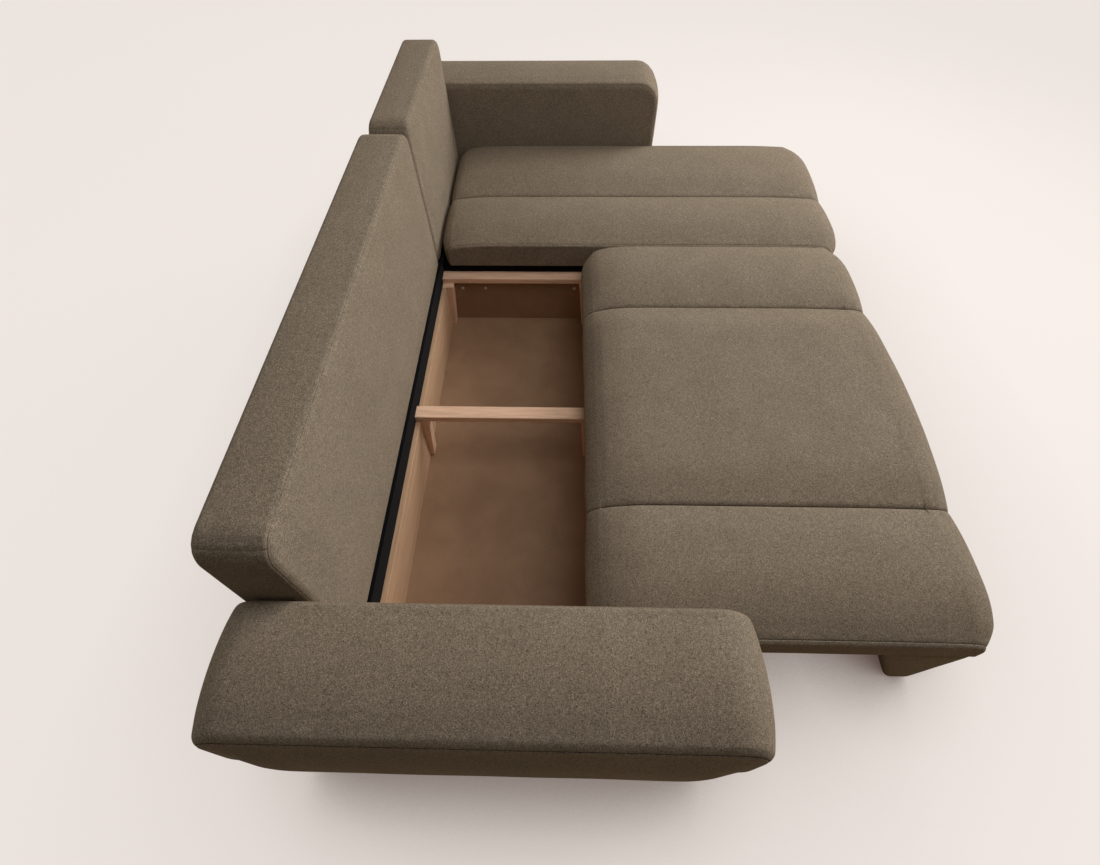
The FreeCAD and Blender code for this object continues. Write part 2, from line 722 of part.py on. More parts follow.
def slide_bracket(label, foot, leg, flange):
    """A folded bracket: a foot on the inner member, a leg, and a flange under the seat frame.

    foot and flange are (start, end) along the sofa, and leg is where the upright starts.
    """
    z_foot = z_slide + slide_height / 2 - nest * 2
    z_flange = z_frame - dust_cloth - bracket_sheet
    folded = DOC.addObject("Part::MultiFuse", label)
    folded.Label = label
    folded.Shapes = [
        block(label + "_foot", foot[0], y_bracket, z_foot, foot[1] - foot[0], bracket_length,
              bracket_sheet),
        block(label + "_leg", leg, y_bracket, z_foot, bracket_sheet, bracket_length,
              z_flange + bracket_sheet - z_foot),
        block(label + "_flange", flange[0], y_bracket, z_flange, flange[1] - flange[0],
              bracket_length, bracket_sheet),
    ]
    return folded


# ---- Castors ----
def castor_pocket(name, x):
    """The room in a front panel for a castor, centred on x."""
    width = wheel_width + (cheek_play + cheek_sheet + castor_pocket_play) * 2
    length = castor_length + castor_pocket_play * 2
    return block("castor_pocket_" + name, x - width / 2, y_castor - length / 2, panel_floor_gap,
                 width, length, castor_height - panel_floor_gap)


def castor_bracket(name, x):
    """A folded steel bracket with two cheeks that carry the axle."""
    outer = wheel_width + (cheek_play + cheek_sheet) * 2
    cheek_height = castor_height - panel_floor_gap - cheek_sheet - axle_radius
    z_cheek = castor_height - cheek_sheet - cheek_height
    left, front = x - outer / 2, y_castor - castor_length / 2
    plates = [
        block("castor_top_" + name, left, front, castor_height - cheek_sheet, outer, castor_length,
              cheek_sheet),
        block("castor_cheek_a_" + name, left, front, z_cheek, cheek_sheet, castor_length, cheek_height),
        block("castor_cheek_b_" + name, left + outer - cheek_sheet, front, z_cheek, cheek_sheet,
              castor_length, cheek_height),
    ]
    folded = DOC.addObject("Part::MultiFuse", "castor_folded_" + name)
    folded.Shapes = plates
    hole = rod("castor_hole_" + name, left - cheek_sheet, y_castor, wheel_radius,
               axle_radius + axle_play, outer + cheek_sheet * 2, "X")
    return cut("castor_bracket_" + name, folded, [hole])


def castor_wheel(name, x):
    """Hub and tyre of one castor wheel."""
    left = x - wheel_width / 2
    hub_radius = wheel_radius - tyre_depth
    disc = rod("hub_disc_" + name, left, y_castor, wheel_radius, hub_radius, wheel_width, "X")
    bore = rod("hub_bore_" + name, left, y_castor, wheel_radius, axle_radius + axle_play,
               wheel_width, "X")
    hub = cut("castor_hub_" + name, disc, [bore])
    shoulder = wheel_radius - tyre_round
    ring = DOC.addObject("PartDesign::Body", "castor_tyre_" + name)
    ring.Label = "castor_tyre_" + name
    sketch = outline(ring, "XZ", [
        (ZERO, hub_radius, None), (wheel_width, hub_radius, None),
        (wheel_width, shoulder, rounded(tyre_round)),
        (wheel_width - tyre_round, wheel_radius, None), (tyre_round, wheel_radius, rounded(tyre_round)),
        (ZERO, shoulder, None)])
    turned = ring.newObject("PartDesign::Revolution", "castor_tyre_turned_" + name)
    turned.Profile = sketch
    turned.ReferenceAxis = (sketch, ["H_Axis"])
    turned.Angle = 360
    ring.Tip = turned
    place(ring, left, y_castor, wheel_radius)
    return [hub, ring]


def feet(label, places, height):
    """Round plastic feet, narrower at the floor."""
    items = []
    for i, (x, y) in enumerate(places):
        foot = DOC.addObject("Part::Cone", "%s_%d" % (label, i))
        bind(foot, {"Radius1": foot_tip_radius, "Radius2": foot_radius, "Height": height})
        items.append(place(foot, x, y))
    return group(label, items)


nest = slide_sheet + slide_play
y_castor = y_front + castor_setback
x_panel = x_seat_near + panel_inset
panel_length = seat_width - panel_inset * 2

# ---- Arms ----
left_arm = arm()
left_arm_frame = arm_frame()
parts = [
    left_arm,
    left_arm_frame,
    mirror("right_arm", left_arm, ZERO),
    mirror("right_arm_frame", left_arm_frame, ZERO),
]
x_foot = arm_pocket_x() + (arm_width - arm_taper - arm_padding * 2) / 2
arm_feet_y = [y_arm_front + arm_corner + arm_padding + foot_inset,
              y_arm_rear - arm_corner - arm_padding - foot_inset]
parts.append(feet("arm_glides", [(x, y) for x in (x_foot, -x_foot) for y in arm_feet_y], floor_gap))

# ---- Back ----
half_gap = module_gap / 4
x_back_near = soft_gap - x_arm
for name, x, end, rail_x, rail_end, posts in (
        ("long", x_back_near, x_joint - half_gap, -x_arm, x_joint, 4),
        ("short", x_joint + half_gap, x_chaise_far, x_joint, x_arm, 2)):
    parts.append(back_cushion("back_cushion_" + name, x, end - x))
    parts.append(back_frame("back_frame_" + name, x, end - x, posts))
    parts.append(block("rear_panel_" + name, rail_x, y_frame_posts + back_frame_thickness, floor_gap,
                       rail_end - rail_x, rear_panel_thickness, back_bottom - floor_gap))
    parts.append(block("back_rail_" + name, rail_x, y_box_rear, back_bottom - back_rail_height,
                       rail_end - rail_x, y_frame_posts - y_box_rear, back_rail_height))

# ---- Storage box ----
parts.append(block("box_floor", x_near_wall, y_box_front, foot_height,
                   x_far_wall + board - x_near_wall, box_depth, box_floor))
far = far_wall()
parts += [far, mirror("box_near_wall", far, x_slide_mirror)]
post_near, post_far = x_box_near, x_far_wall - post_length
post_middle = x_crossbar
for name, start, end in (("a", post_near + post_length, post_middle),
                         ("b", post_middle + post_length, post_far)):
    parts.append(block("box_rear_board_" + name, start, y_box_rear - board, z_box_floor,
                       end - start, board, wall_height))
    parts.append(block("box_front_board_" + name, start, y_box_front, z_box_floor,
                       end - start, board, wall_height))
posts = [box_post("post_%s_%s" % (name, "rear" if rear else "front"), x, rear)
         for name, x in (("near", post_near), ("middle", post_middle), ("far", post_far))
         for rear in (True, False)]
parts.append(group("box_posts", posts))
far_bar = block("rim_bar_far", x_chaise_side - bar_width, y_box_front, z_wall_top, bar_width,
                box_depth, bar_thickness)
parts.append(group("box_rim_bars", [far_bar, mirror("rim_bar_near", far_bar, x_slide_mirror)]))
parts.append(block("box_crossbar", x_crossbar, y_box_front, z_wall_top, crossbar_width, box_depth,
                   bar_thickness))
box_feet_places = [(x, y) for x in (x_near_wall + foot_inset, x_crossbar, x_far_wall + board - foot_inset)
                   for y in (y_box_front + foot_inset, y_box_rear - foot_inset)]
parts.append(feet("box_feet", box_feet_places, foot_height))

# ---- Slides ----
outer = cut("slide_outer_far",
            slide_member("slide_outer_form", ZERO, slide_width, y_slide, slide_length, True),
            [rod("slide_hole_%d" % i, x_far_wall + board, y, z_slide, screw_radius + screw_play,
                 slide_sheet, "X") for i, y in enumerate(screw_places())])
middle = slide_member("slide_middle_far", nest, slide_width - nest, y_slide - travel / 2, slide_length,
                      False)
inner_reach = slide_width - slide_play * 2
inner = slide_member("slide_inner_far", nest * 2, inner_reach, y_bracket,
                     y_slide + slide_length - travel - y_bracket, False)
screws = slide_screws()
parts += [outer, middle, inner, screws]
parts += [mirror(item.Label.replace("far", "near"), item, x_slide_mirror)
          for item in (outer, middle, inner, screws)]

# ---- Pull-out seat ----
frame_y = y_front + frame_front_inset
seat_x = x_seat_near + frame_near_inset
seat_bay = (seat_x, x_seat_far - frame_inset - seat_x, frame_y, y_seat_rear - frame_end_inset - frame_y)
channels = [near_channel_width, middle_channel_width, far_channel_width]
seams = [x_seat_near + near_channel_width, x_seat_near + near_channel_width + middle_channel_width]
parts.append(channelled_cushion("seat_cushion", x_seat_near, y_front, channels, seat_depth, seat_bay))
parts.append(seat_frame("seat_frame", *seat_bay, seams))
parts.append(webbing("seat_webbing", *seat_bay, seat_strap_count))
y_cloth = y_front + panel_front_inset + panel_top
parts.append(block("seat_dust_cloth", seat_bay[0], y_cloth, z_frame - dust_cloth, seat_bay[1],
                   y_seat_rear - frame_end_inset - y_cloth, dust_cloth))
castors = {"near": x_panel + castor_inset, "far": x_panel + panel_length - castor_inset}
parts.append(front_panel("seat_front_panel", x_panel, panel_length,
                         [castor_pocket(name, x) for name, x in castors.items()]))
x_inner_far = x_far_wall + board + inner_reach
x_rail_far = x_seat_far - frame_inset
parts.append(slide_bracket("slide_bracket_far", (x_rail_far, x_inner_far), x_rail_far,
                           (x_rail_far - rail_thickness, x_rail_far + bracket_sheet)))
parts.append(slide_bracket("slide_bracket_near", (x_slide_mirror * 2 - x_inner_far, seat_x + bracket_sheet),
                           seat_x, (seat_x, seat_x + rail_thickness)))
for name, x in castors.items():
    parts.append(castor_bracket(name, x))
    parts.append(rod("castor_axle_" + name, x - wheel_width / 2 - cheek_play - cheek_sheet, y_castor,
                     wheel_radius, axle_radius, wheel_width + (cheek_play + cheek_sheet) * 2, "X"))
    parts += castor_wheel(name, x)

# ---- Chaise ----
chaise_seam = x_chaise_near + chaise_channel_width
base_end = x_chaise_far - frame_inset
base_length = base_end - x_chaise_side
chaise_bay = (x_chaise_side, base_length, frame_y, y_chaise_rear - frame_end_inset - frame_y)
parts.append(channelled_cushion("chaise_cushion", x_chaise_near, y_front,
                                [chaise_channel_width, chaise_width - chaise_channel_width], chaise_depth,
                                chaise_bay))
parts.append(seat_frame("chaise_frame", *chaise_bay, [chaise_seam]))
parts.append(webbing("chaise_webbing", *chaise_bay, chaise_strap_count))
parts.append(front_panel("chaise_front_panel", x_chaise_side, base_length))
side_depth = y_box_rear - y_cloth
for name, x in (("near", x_chaise_side), ("far", base_end - side_panel)):
    parts.append(block("chaise_side_" + name, x, y_cloth, floor_gap, side_panel, side_depth,
                       z_frame - floor_gap))
parts.append(block("chaise_floor", x_chaise_side + side_panel, y_cloth, foot_height,
                   base_length - side_panel * 2, side_depth, box_floor))
parts.append(feet("chaise_feet", [(x, y) for x in (x_chaise_side + foot_inset, base_end - foot_inset)
                                  for y in (y_cloth + foot_inset, y_box_rear - foot_inset)],
                  foot_height))

# ---- Blocks between the arms and the frames ----
spacer_height = z_slide - slide_height / 2 - spacer_gap - z_box_floor
spacers = []
for i, y in enumerate((y_box_front + foot_inset, y_box_rear - foot_inset)):
    for name, x, end in (("near", -x_arm, x_near_wall), ("far", base_end, x_arm)):
        spacers.append(block("spacer_%s_%d" % (name, i), x, y - spacer_length / 2, z_box_floor,
                             end - x, spacer_length, spacer_height))
parts.append(group("arm_spacers", spacers))

DOC.recompute()

# ---- Check and write ----
for item in DOC.Objects:
    if "Invalid" in item.State or "Error" in item.State:
        raise RuntimeError("%s failed: %s" % (item.Label, item.State))
os.makedirs("parts", exist_ok=True)
for item in parts:
    if item.Shape.isNull() or not item.Shape.isValid() or not item.Shape.Solids:
        raise RuntimeError("%s has no valid solid" % item.Label)
    item.Shape.exportStep("parts/%s.step" % item.Label)
print("%d sub-parts" % len(parts))
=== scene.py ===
"""Dresses the pull-out storage sofa: upholstered pads, wooden storage box, metal parts, studio.

Everything is in metres in the sofa's own frame: +Z up, the front faces -Y, +X is the chaise end.
"""

import logging
import math
from dataclasses import dataclass, field
from enum import Enum
from functools import partial
from itertools import accumulate
from typing import Callable, Iterable, Sequence

import bmesh
import bpy
from mathutils import Matrix, Vector, noise


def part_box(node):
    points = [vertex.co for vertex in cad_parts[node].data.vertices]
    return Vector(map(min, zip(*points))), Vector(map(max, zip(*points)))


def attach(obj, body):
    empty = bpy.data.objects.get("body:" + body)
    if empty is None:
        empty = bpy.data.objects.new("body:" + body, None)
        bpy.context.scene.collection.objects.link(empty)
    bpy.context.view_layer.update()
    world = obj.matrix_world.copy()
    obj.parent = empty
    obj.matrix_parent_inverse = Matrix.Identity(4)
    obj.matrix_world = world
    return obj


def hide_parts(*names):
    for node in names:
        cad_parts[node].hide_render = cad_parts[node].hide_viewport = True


LOG = logging.getLogger("storage_sofa")

Point = tuple[float, float, float]
Colour = tuple[float, float, float]
Stop = tuple[float, Colour]
Easing = Callable[[float], float]
Mesh = bmesh.types.BMesh
Socket = bpy.types.NodeSocket
Material = bpy.types.Material

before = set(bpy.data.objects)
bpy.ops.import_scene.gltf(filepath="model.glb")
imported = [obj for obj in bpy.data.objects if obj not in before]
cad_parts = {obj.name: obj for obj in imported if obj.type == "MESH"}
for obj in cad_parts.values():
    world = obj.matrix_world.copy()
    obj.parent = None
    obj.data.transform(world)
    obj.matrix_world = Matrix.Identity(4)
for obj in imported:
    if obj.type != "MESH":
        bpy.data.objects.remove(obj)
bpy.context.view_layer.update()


class Axis(Enum):
    """A direction of the sofa's frame."""

    X = 0
    Y = 1
    Z = 2


class Body(Enum):
    """The bodies that new pieces ride on."""

    SOFA = "sofa"
    SEAT = "pull_out_seat"


# ---------------------------------------------------------------- finishes
def srgb(red: int, green: int, blue: int) -> Colour:
    """Turns an 8-bit display colour into the linear values that a shader takes."""
    return tuple((c / 255 / 12.92) if c <= 10 else ((c / 255 + 0.055) / 1.055) ** 2.4
                 for c in (red, green, blue))


def rgba(colour: Colour) -> tuple[float, float, float, float]:
    """A linear colour with full alpha."""
    return (*colour, 1.0)


def grey(level: float) -> Colour:
    """A linear grey."""
    return (level, level, level)


def shaded(colour: Colour, amount: float) -> Colour:
    """A colour made lighter or darker by a factor."""
    return tuple(min(1.0, c * amount) for c in colour)


class NodeSheet:
    """A new material or world and short calls that add nodes to it, side by side."""

    spacing = 180

    def __init__(self, name: str, world: bool = False) -> None:
        """Starts from the shader that a new material or world has.

        Args:
            name: Its name.
            world: Whether it is a world and not a material.
        """
        self.owner = (bpy.data.worlds if world else bpy.data.materials).new(name)
        self.owner.use_nodes = True
        self.tree = self.owner.node_tree
        self.surface = next(n for n in self.tree.nodes if "Output" in n.name).inputs["Surface"]
        self.shader = self.surface.links[0].from_node
        self.at = 0

    def feed(self, socket: Socket, value: Socket | float | tuple[float, ...]) -> None:
        """Joins another node's socket to an input, or gives the input a plain value.

        Args:
            socket: The input.
            value: The other socket or the plain value.
        """
        if isinstance(value, Socket):
            self.tree.links.new(value, socket)
        else:
            socket.default_value = value

    def node(self, kind: str, *inputs: Socket | float, **values: object) -> bpy.types.Node:
        """Adds a node.

        Args:
            kind: The node's type name.
            *inputs: What its first inputs get, in order.
            **values: Its properties by their names, which start with a small letter, and its
                inputs by theirs, which start with a capital, with _ for a space.

        Returns:
            The node.
        """
        made = self.tree.nodes.new(kind)
        self.at -= self.spacing
        made.location = (self.at, 0)
        for name, value in values.items():
            if name[0].islower():
                setattr(made, name, value)
            else:
                self.feed(made.inputs[name.replace("_", " ")], value)
        for socket, value in zip(made.inputs, inputs):
            self.feed(socket, value)
        return made

    def place(self, stretch: Point = (1, 1, 1), turn: Point = (0, 0, 0)) -> Socket:
        """Object coordinates, stretched along and turned in radians about each direction."""
        here = self.node("ShaderNodeTexCoord").outputs["Object"]
        return self.node("ShaderNodeMapping", here, Scale=stretch, Rotation=turn).outputs["Vector"]

    def noise(self, where: Socket, scale: float, detail: float = 2.0, rough: float = 0.5,
              twist: float = 0.0) -> Socket:
        """A noise texture's value: scale counts features a metre and detail octaves."""
        return self.node("ShaderNodeTexNoise", Vector=where, Scale=scale, Detail=detail,
                         Roughness=rough, Distortion=twist).outputs["Fac"]

    def ramp(self, value: Socket, *stops: Stop) -> Socket:
        """A colour ramp over a value.

        Args:
            value: The socket that drives it.
            *stops: Position and colour of each stop.

        Returns:
            The socket with the colour.
        """
        made = self.node("ShaderNodeValToRGB", value)
        elements = made.color_ramp.elements
        while len(elements) < len(stops):
            elements.new(0.5)
        for element, (position, colour) in zip(elements, stops):
            element.position = position
            element.color = rgba(colour)
        return made.outputs["Color"]

    def shades(self, value: Socket, colour: Colour, *stops: tuple[float, float]) -> Socket:
        """A ramp over darker and lighter shades of one colour."""
        return self.ramp(value, *((at, shaded(colour, amount)) for at, amount in stops))

    def span(self, value: Socket, low: float, high: float, to_low: float = 0.0,
             to_high: float = 1.0) -> Socket:
        """A value taken from one range to another, smoothly and clamped."""
        return self.node("ShaderNodeMapRange", value, interpolation_type="SMOOTHSTEP", From_Min=low,
                         From_Max=high, To_Min=to_low, To_Max=to_high).outputs["Result"]

    def math(self, kind: str, first: Socket, second: Socket | float) -> Socket:
        """One sum on a value and a second value or number."""
        return self.node("ShaderNodeMath", first, second, operation=kind).outputs["Value"]

    def times(self, under: Socket, over: Socket | tuple[float, ...],
              amount: Socket | float = 1.0) -> Socket:
        """A colour multiplied by another.

        Args:
            under: The colour underneath.
            over: The colour that it is multiplied by.
            amount: How much of that shows.

        Returns:
            The socket with the colour.
        """
        made = self.node("ShaderNodeMix", amount, data_type="RGBA", blend_type="MULTIPLY")
        self.feed(made.inputs[6], under)
        self.feed(made.inputs[7], over)
        return made.outputs[2]

    def toned(self, colour: Socket, value: Socket, *stops: Stop) -> Socket:
        """A colour multiplied by a ramp over a value."""
        return self.times(colour, self.ramp(value, *stops))

    def bump(self, height: Socket, strength: float, depth: float,
             under: Socket | None = None) -> Socket:
        """A bump's normal: depth is what a height of 1 stands for, and under a normal below it."""
        below = {} if under is None else {"Normal": under}
        return self.node("ShaderNodeBump", Height=height, Strength=strength, Distance=depth,
                         **below).outputs["Normal"]

    def finish(self, **values: Socket | float | tuple[float, ...]) -> Material | bpy.types.World:
        """Sets the shader's own inputs.

        Args:
            **values: What each input gets, with _ for a space in its name.

        Returns:
            The material or world.
        """
        for name, value in values.items():
            self.feed(self.shader.inputs[name.replace("_", " ")], value)
        return self.owner

    def show(self, seen: Socket) -> None:
        """Shows the eye another shader than the one that lights the things around.

        Args:
            seen: What is seen directly, mirrored or through glass.
        """
        ray = self.node("ShaderNodeLightPath").outputs
        to_eye = ray["Is Camera Ray"]
        for name in ("Is Glossy Ray", "Is Transmission Ray"):
            to_eye = self.math("MAXIMUM", to_eye, ray[name])
        choice = self.node("ShaderNodeMixShader", to_eye, self.shader.outputs[0], seen)
        self.feed(self.surface, choice.outputs["Shader"])


@dataclass(frozen=True)
class Felt:
    """Brushed upholstery felt: short matted pile in several close tones."""

    name: str = "taupe_felt"
    colour: Colour = srgb(128, 115, 99)
    dark_fibre: float = 0.34
    pale_fibre: float = 1.78
    fleck: float = 450.0
    stitch_shade: Colour = (0.30, 0.28, 0.26)
    sheen: float = 0.16
    sheen_tint: Colour = srgb(222, 198, 166)

    def material(self) -> Material:
        """Builds the felt.

        Returns:
            Its material.
        """
        sheet = NodeSheet(self.name)
        where = sheet.place()
        pile = sheet.noise(where, self.fleck, 3.0, 0.62, 0.6)
        along = sheet.noise(sheet.place((1.0, 0.4, 1.0), (0.3, 0.2, 0.6)), self.fleck * 1.4,
                            2.0, 0.6, 1.2)
        across = sheet.noise(sheet.place((0.4, 1.0, 1.0), (0.5, 0.1, -0.5)), self.fleck * 1.3,
                             2.0, 0.6, 1.2)
        clumps = sheet.noise(where, 120.0, 3.0, 0.6, 0.5)
        cloud = sheet.noise(where, 9.0, 3.0, 0.55, 0.3)
        tucks = sheet.noise(where, 42.0, 1.0, 0.4)
        seam, stitch = (sheet.node("ShaderNodeAttribute", attribute_name=name).outputs["Fac"]
                        for name in ("seam", "stitch"))
        fibres = sheet.math("ADD", sheet.math("MULTIPLY", pile, 0.4),
                            sheet.math("MULTIPLY", sheet.math("ADD", along, across), 0.3))
        base = sheet.shades(fibres, self.colour, (0.39, self.dark_fibre), (0.5, 1.0),
                            (0.61, self.pale_fibre))
        base = sheet.toned(base, clumps, (0.36, grey(0.90)), (0.62, grey(1.06)))
        base = sheet.toned(base, cloud, (0.34, (0.95, 0.945, 0.94)), (0.66, grey(1.04)))
        base = sheet.times(base, rgba(self.stitch_shade), sheet.span(stitch, 0.15, 0.9))
        tucked = sheet.math("MULTIPLY", sheet.span(tucks, 0.35, 0.68), sheet.span(seam, 0.05, 0.85))
        normal = sheet.bump(tucked, 0.35, 0.003)
        normal = sheet.bump(clumps, 0.25, 0.0020, normal)
        normal = sheet.bump(fibres, 0.85, 0.0016, normal)
        return sheet.finish(Base_Color=base, Normal=normal, Roughness=0.94, Specular_IOR_Level=0.05,
                            Sheen_Weight=self.sheen, Sheen_Roughness=0.5,
                            Sheen_Tint=rgba(self.sheen_tint))


@dataclass(frozen=True)
class Wood:
    """A planed wooden board with the grain along one direction."""

    name: str
    colour: Colour
    grain: Axis
    contrast: float = 0.16
    gloss: float = 0.52
    pore_shade: Colour = (0.55, 0.45, 0.38)
    grain_stretch: float = 0.045

    def material(self) -> Material:
        """Builds the wood.

        Returns:
            Its material.
        """
        sheet = NodeSheet(self.name)
        stretch = tuple(self.grain_stretch if axis is self.grain else 1.0 for axis in Axis)
        where = sheet.place(stretch)
        bands = sheet.noise(where, 34.0, 4.0, 0.55, 1.1)
        lines = sheet.noise(where, 240.0, 3.0, 0.6, 0.4)
        pores = sheet.noise(where, 720.0, 2.0, 0.7)
        base = sheet.shades(bands, self.colour, (0.30, 1 - self.contrast), (0.5, 1.0),
                            (0.72, 1 + self.contrast * 0.6))
        base = sheet.toned(base, lines, (0.34, (0.86, 0.83, 0.80)), (0.6, grey(1.04)))
        base = sheet.times(base, rgba(self.pore_shade),
                           sheet.math("MULTIPLY", sheet.span(pores, 0.66, 0.74), 0.45))
        return sheet.finish(Base_Color=base, Normal=sheet.bump(lines, 0.22, 0.0006),
                            Roughness=sheet.span(lines, 0.3, 0.7, self.gloss, self.gloss + 0.16),
                            Specular_IOR_Level=0.25)


@dataclass(frozen=True)
class Fibreboard:
    """Pressed brown board: fine chips and a slightly waxy face."""

    name: str = "brown_board"
    colour: Colour = srgb(150, 119, 92)

    def material(self) -> Material:
        """Builds the board.

        Returns:
            Its material.
        """
        sheet = NodeSheet(self.name)
        where = sheet.place()
        chips = sheet.noise(where, 420.0, 3.0, 0.65)
        stain = sheet.noise(where, 11.0, 3.0, 0.5, 0.4)
        base = sheet.shades(chips, self.colour, (0.32, 0.80), (0.52, 1.0), (0.72, 1.16))
        base = sheet.toned(base, stain, (0.34, (0.90, 0.88, 0.86)), (0.66, grey(1.05)))
        return sheet.finish(Base_Color=base, Normal=sheet.bump(chips, 0.2, 0.0005), Roughness=0.62,
                            Specular_IOR_Level=0.3)


@dataclass(frozen=True)
class LiningCloth:
    """Thin woven or spun black cloth, as under a sofa."""

    name: str = "black_cloth"
    colour: Colour = srgb(17, 16, 17)
    threads: float = 900.0
    dimples: float = 420.0

    def material(self) -> Material:
        """Builds the cloth.

        Returns:
            Its material.
        """
        sheet = NodeSheet(self.name)
        where = sheet.place()
        spun = sheet.noise(where, self.threads, 2.0, 0.6)
        dimpled = sheet.node("ShaderNodeTexVoronoi", Vector=where, Scale=self.dimples)
        base = sheet.shades(spun, self.colour, (0.34, 0.6), (0.55, 1.0), (0.74, 1.9))
        normal = sheet.bump(dimpled.outputs["Distance"], 0.4, 0.0005)
        return sheet.finish(Base_Color=base, Normal=normal, Roughness=0.9, Specular_IOR_Level=0.03,
                            Sheen_Weight=0.03, Sheen_Roughness=0.5)


@dataclass(frozen=True)
class Metal:
    """Plated sheet steel with fine rolling marks and cloudy plating."""

    name: str
    colour: Colour
    rough: float
    metallic: float = 1.0

    def material(self) -> Material:
        """Builds the metal.

        Returns:
            Its material.
        """
        sheet = NodeSheet(self.name)
        cloudy = sheet.noise(sheet.place(), 55.0, 4.0, 0.6, 0.5)
        marks = sheet.noise(sheet.place((1.0, 0.03, 1.0)), 900.0, 2.0, 0.6)
        base = sheet.shades(cloudy, self.colour, (0.3, 0.84), (0.7, 1.04))
        rough = sheet.span(cloudy, 0.3, 0.75, self.rough, self.rough + 0.16)
        return sheet.finish(Base_Color=base, Normal=sheet.bump(marks, 0.12, 0.0003),
                            Roughness=rough, Metallic=self.metallic)


@dataclass(frozen=True)
class Moulded:
    """Moulded plastic or rubber with a fine spark-eroded grain."""

    name: str
    colour: Colour
    rough: float = 0.5

    def material(self) -> Material:
        """Builds the moulding.

        Returns:
            Its material.
        """
        sheet = NodeSheet(self.name)
        grain = sheet.noise(sheet.place(), 1300.0, 2.0, 0.6)
        dust = sheet.noise(sheet.place(), 38.0, 4.0, 0.6)
        base = sheet.shades(dust, self.colour, (0.35, 1.0), (0.8, 1.5))
        rough = sheet.span(dust, 0.3, 0.8, self.rough, min(1.0, self.rough + 0.2))
        return sheet.finish(Base_Color=base, Normal=sheet.bump(grain, 0.25, 0.0003),
                            Roughness=rough, Specular_IOR_Level=0.4)


@dataclass(frozen=True)
class Webbing:
    """Elastic strap: ribs along its length and picks across them."""

    name: str = "elastic_webbing"
    colour: Colour = srgb(52, 48, 44)
    ribs: float = 95.0
    picks: float = 160.0

    def material(self) -> Material:
        """Builds the strap.

        Returns:
            Its material.
        """
        sheet = NodeSheet(self.name)
        where = sheet.place()
        ribs, picks = (
            sheet.node("ShaderNodeTexWave", Vector=where, bands_direction=way, Scale=scale)
            for way, scale in (("Y", self.ribs), ("X", self.picks)))
        woven = sheet.math("MULTIPLY", ribs.outputs["Fac"], picks.outputs["Fac"])
        base = sheet.shades(woven, self.colour, (0.1, 0.6), (0.6, 1.5))
        return sheet.finish(Base_Color=base, Normal=sheet.bump(woven, 0.6, 0.0006), Roughness=0.85,
                            Specular_IOR_Level=0.2)


def woods(name: str, colour: Colour, grains: Iterable[Axis],
          **looks: float) -> dict[Axis, Material]:
    """One wood's materials, for the directions that its grain runs in."""
    return {axis: Wood(name + "_" + axis.name.lower(), colour, axis, **looks).material()
            for axis in grains}


FELT = Felt().material()
# Near-black lining cloth; on the chaise's near side panel it is a dark sheet that stands in as
# painted shade under the cushion's overhang.
BLACK_CLOTH_AND_PAINTED_SHADE = LiningCloth().material()
BROWN_BOARD = Fibreboard().material()
ZINC = Metal("zinc", srgb(205, 206, 208), 0.4, 0.45).material()
STEEL = Metal("zinc_steel", srgb(176, 178, 181), 0.4).material()
BLACK_PLASTIC = Moulded("black_plastic", srgb(30, 30, 31)).material()
RUBBER = Moulded("castor_rubber", srgb(44, 44, 45), 0.72).material()
STRAP = Webbing().material()
PALE_WOOD = woods("pale_wood", srgb(237, 197, 167), (Axis.Y, Axis.Z))
FRAME_WOOD = woods("frame_wood", srgb(190, 160, 122), Axis, contrast=0.2, gloss=0.66)
BOX_WOOD = woods("box_wood", srgb(192, 156, 124), (Axis.X,), contrast=0.12, gloss=0.6)[Axis.X]


# ---------------------------------------------------------------- making pieces
NEAR = 2e-5  # Places closer than this are one place.
WELD = 1e-4  # Vertices closer than this are merged once the slices are made.
FACING = 0.5  # A surface faces a direction if this much of its normal lies along it.
FILL_FRAMES = 20
FILLING = {"quality": 4, "mass": 0.3, "tension_stiffness": 18, "compression_stiffness": 18,
           "bending_stiffness": 4, "use_pressure": True, "uniform_pressure_force": 4.0,
           "vertex_group_mass": "held"}


def placed(name: str, data: bpy.types.ID | Mesh) -> bpy.types.Object:
    """Puts a new object into the scene.

    Args:
        name: Its name.
        data: Its lamp or camera, or the edited mesh that it is made from.

    Returns:
        The object.
    """
    if isinstance(data, Mesh):
        edited, data = data, bpy.data.meshes.new(name)
        edited.to_mesh(data)
    made = bpy.data.objects.new(name, data)
    bpy.context.scene.collection.objects.link(made)
    return made


def piece(name: str, bm: Mesh, finish: Material, body: Body, node: str,
          levels: int = 0, smooth: bool = True) -> bpy.types.Object:
    """Turns a mesh into a finished piece that rides on a body.

    Args:
        name: The piece's name.
        bm: Its mesh, which is freed.
        finish: Its material.
        body: What it rides on.
        node: The CAD node that it stands for.
        levels: How many times its faces are subdivided.
        smooth: Whether its faces are shaded smooth.

    Returns:
        The object.
    """
    for face in bm.faces:
        face.smooth = smooth
    made = placed(name, bm)
    bm.free()
    made.data.materials.append(finish)
    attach(made, body.value)
    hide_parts(node)
    if levels:
        rounding = made.modifiers.new("Subdivision", "SUBSURF")
        rounding.levels = rounding.render_levels = levels
    LOG.info("made %s", name)
    return made


def solid_block(bm: Mesh, low: Sequence[float], high: Sequence[float]) -> list[bmesh.types.BMVert]:
    """Adds a plain block between two corners.

    Args:
        bm: The mesh to add it to.
        low: Its lowest corner.
        high: Its highest corner.

    Returns:
        Its eight vertices.
    """
    verts = bmesh.ops.create_cube(bm, size=1.0)["verts"]
    bmesh.ops.scale(bm, vec=[b - a for a, b in zip(low, high)], verts=verts)
    bmesh.ops.translate(bm, vec=[(a + b) / 2 for a, b in zip(low, high)], verts=verts)
    return verts


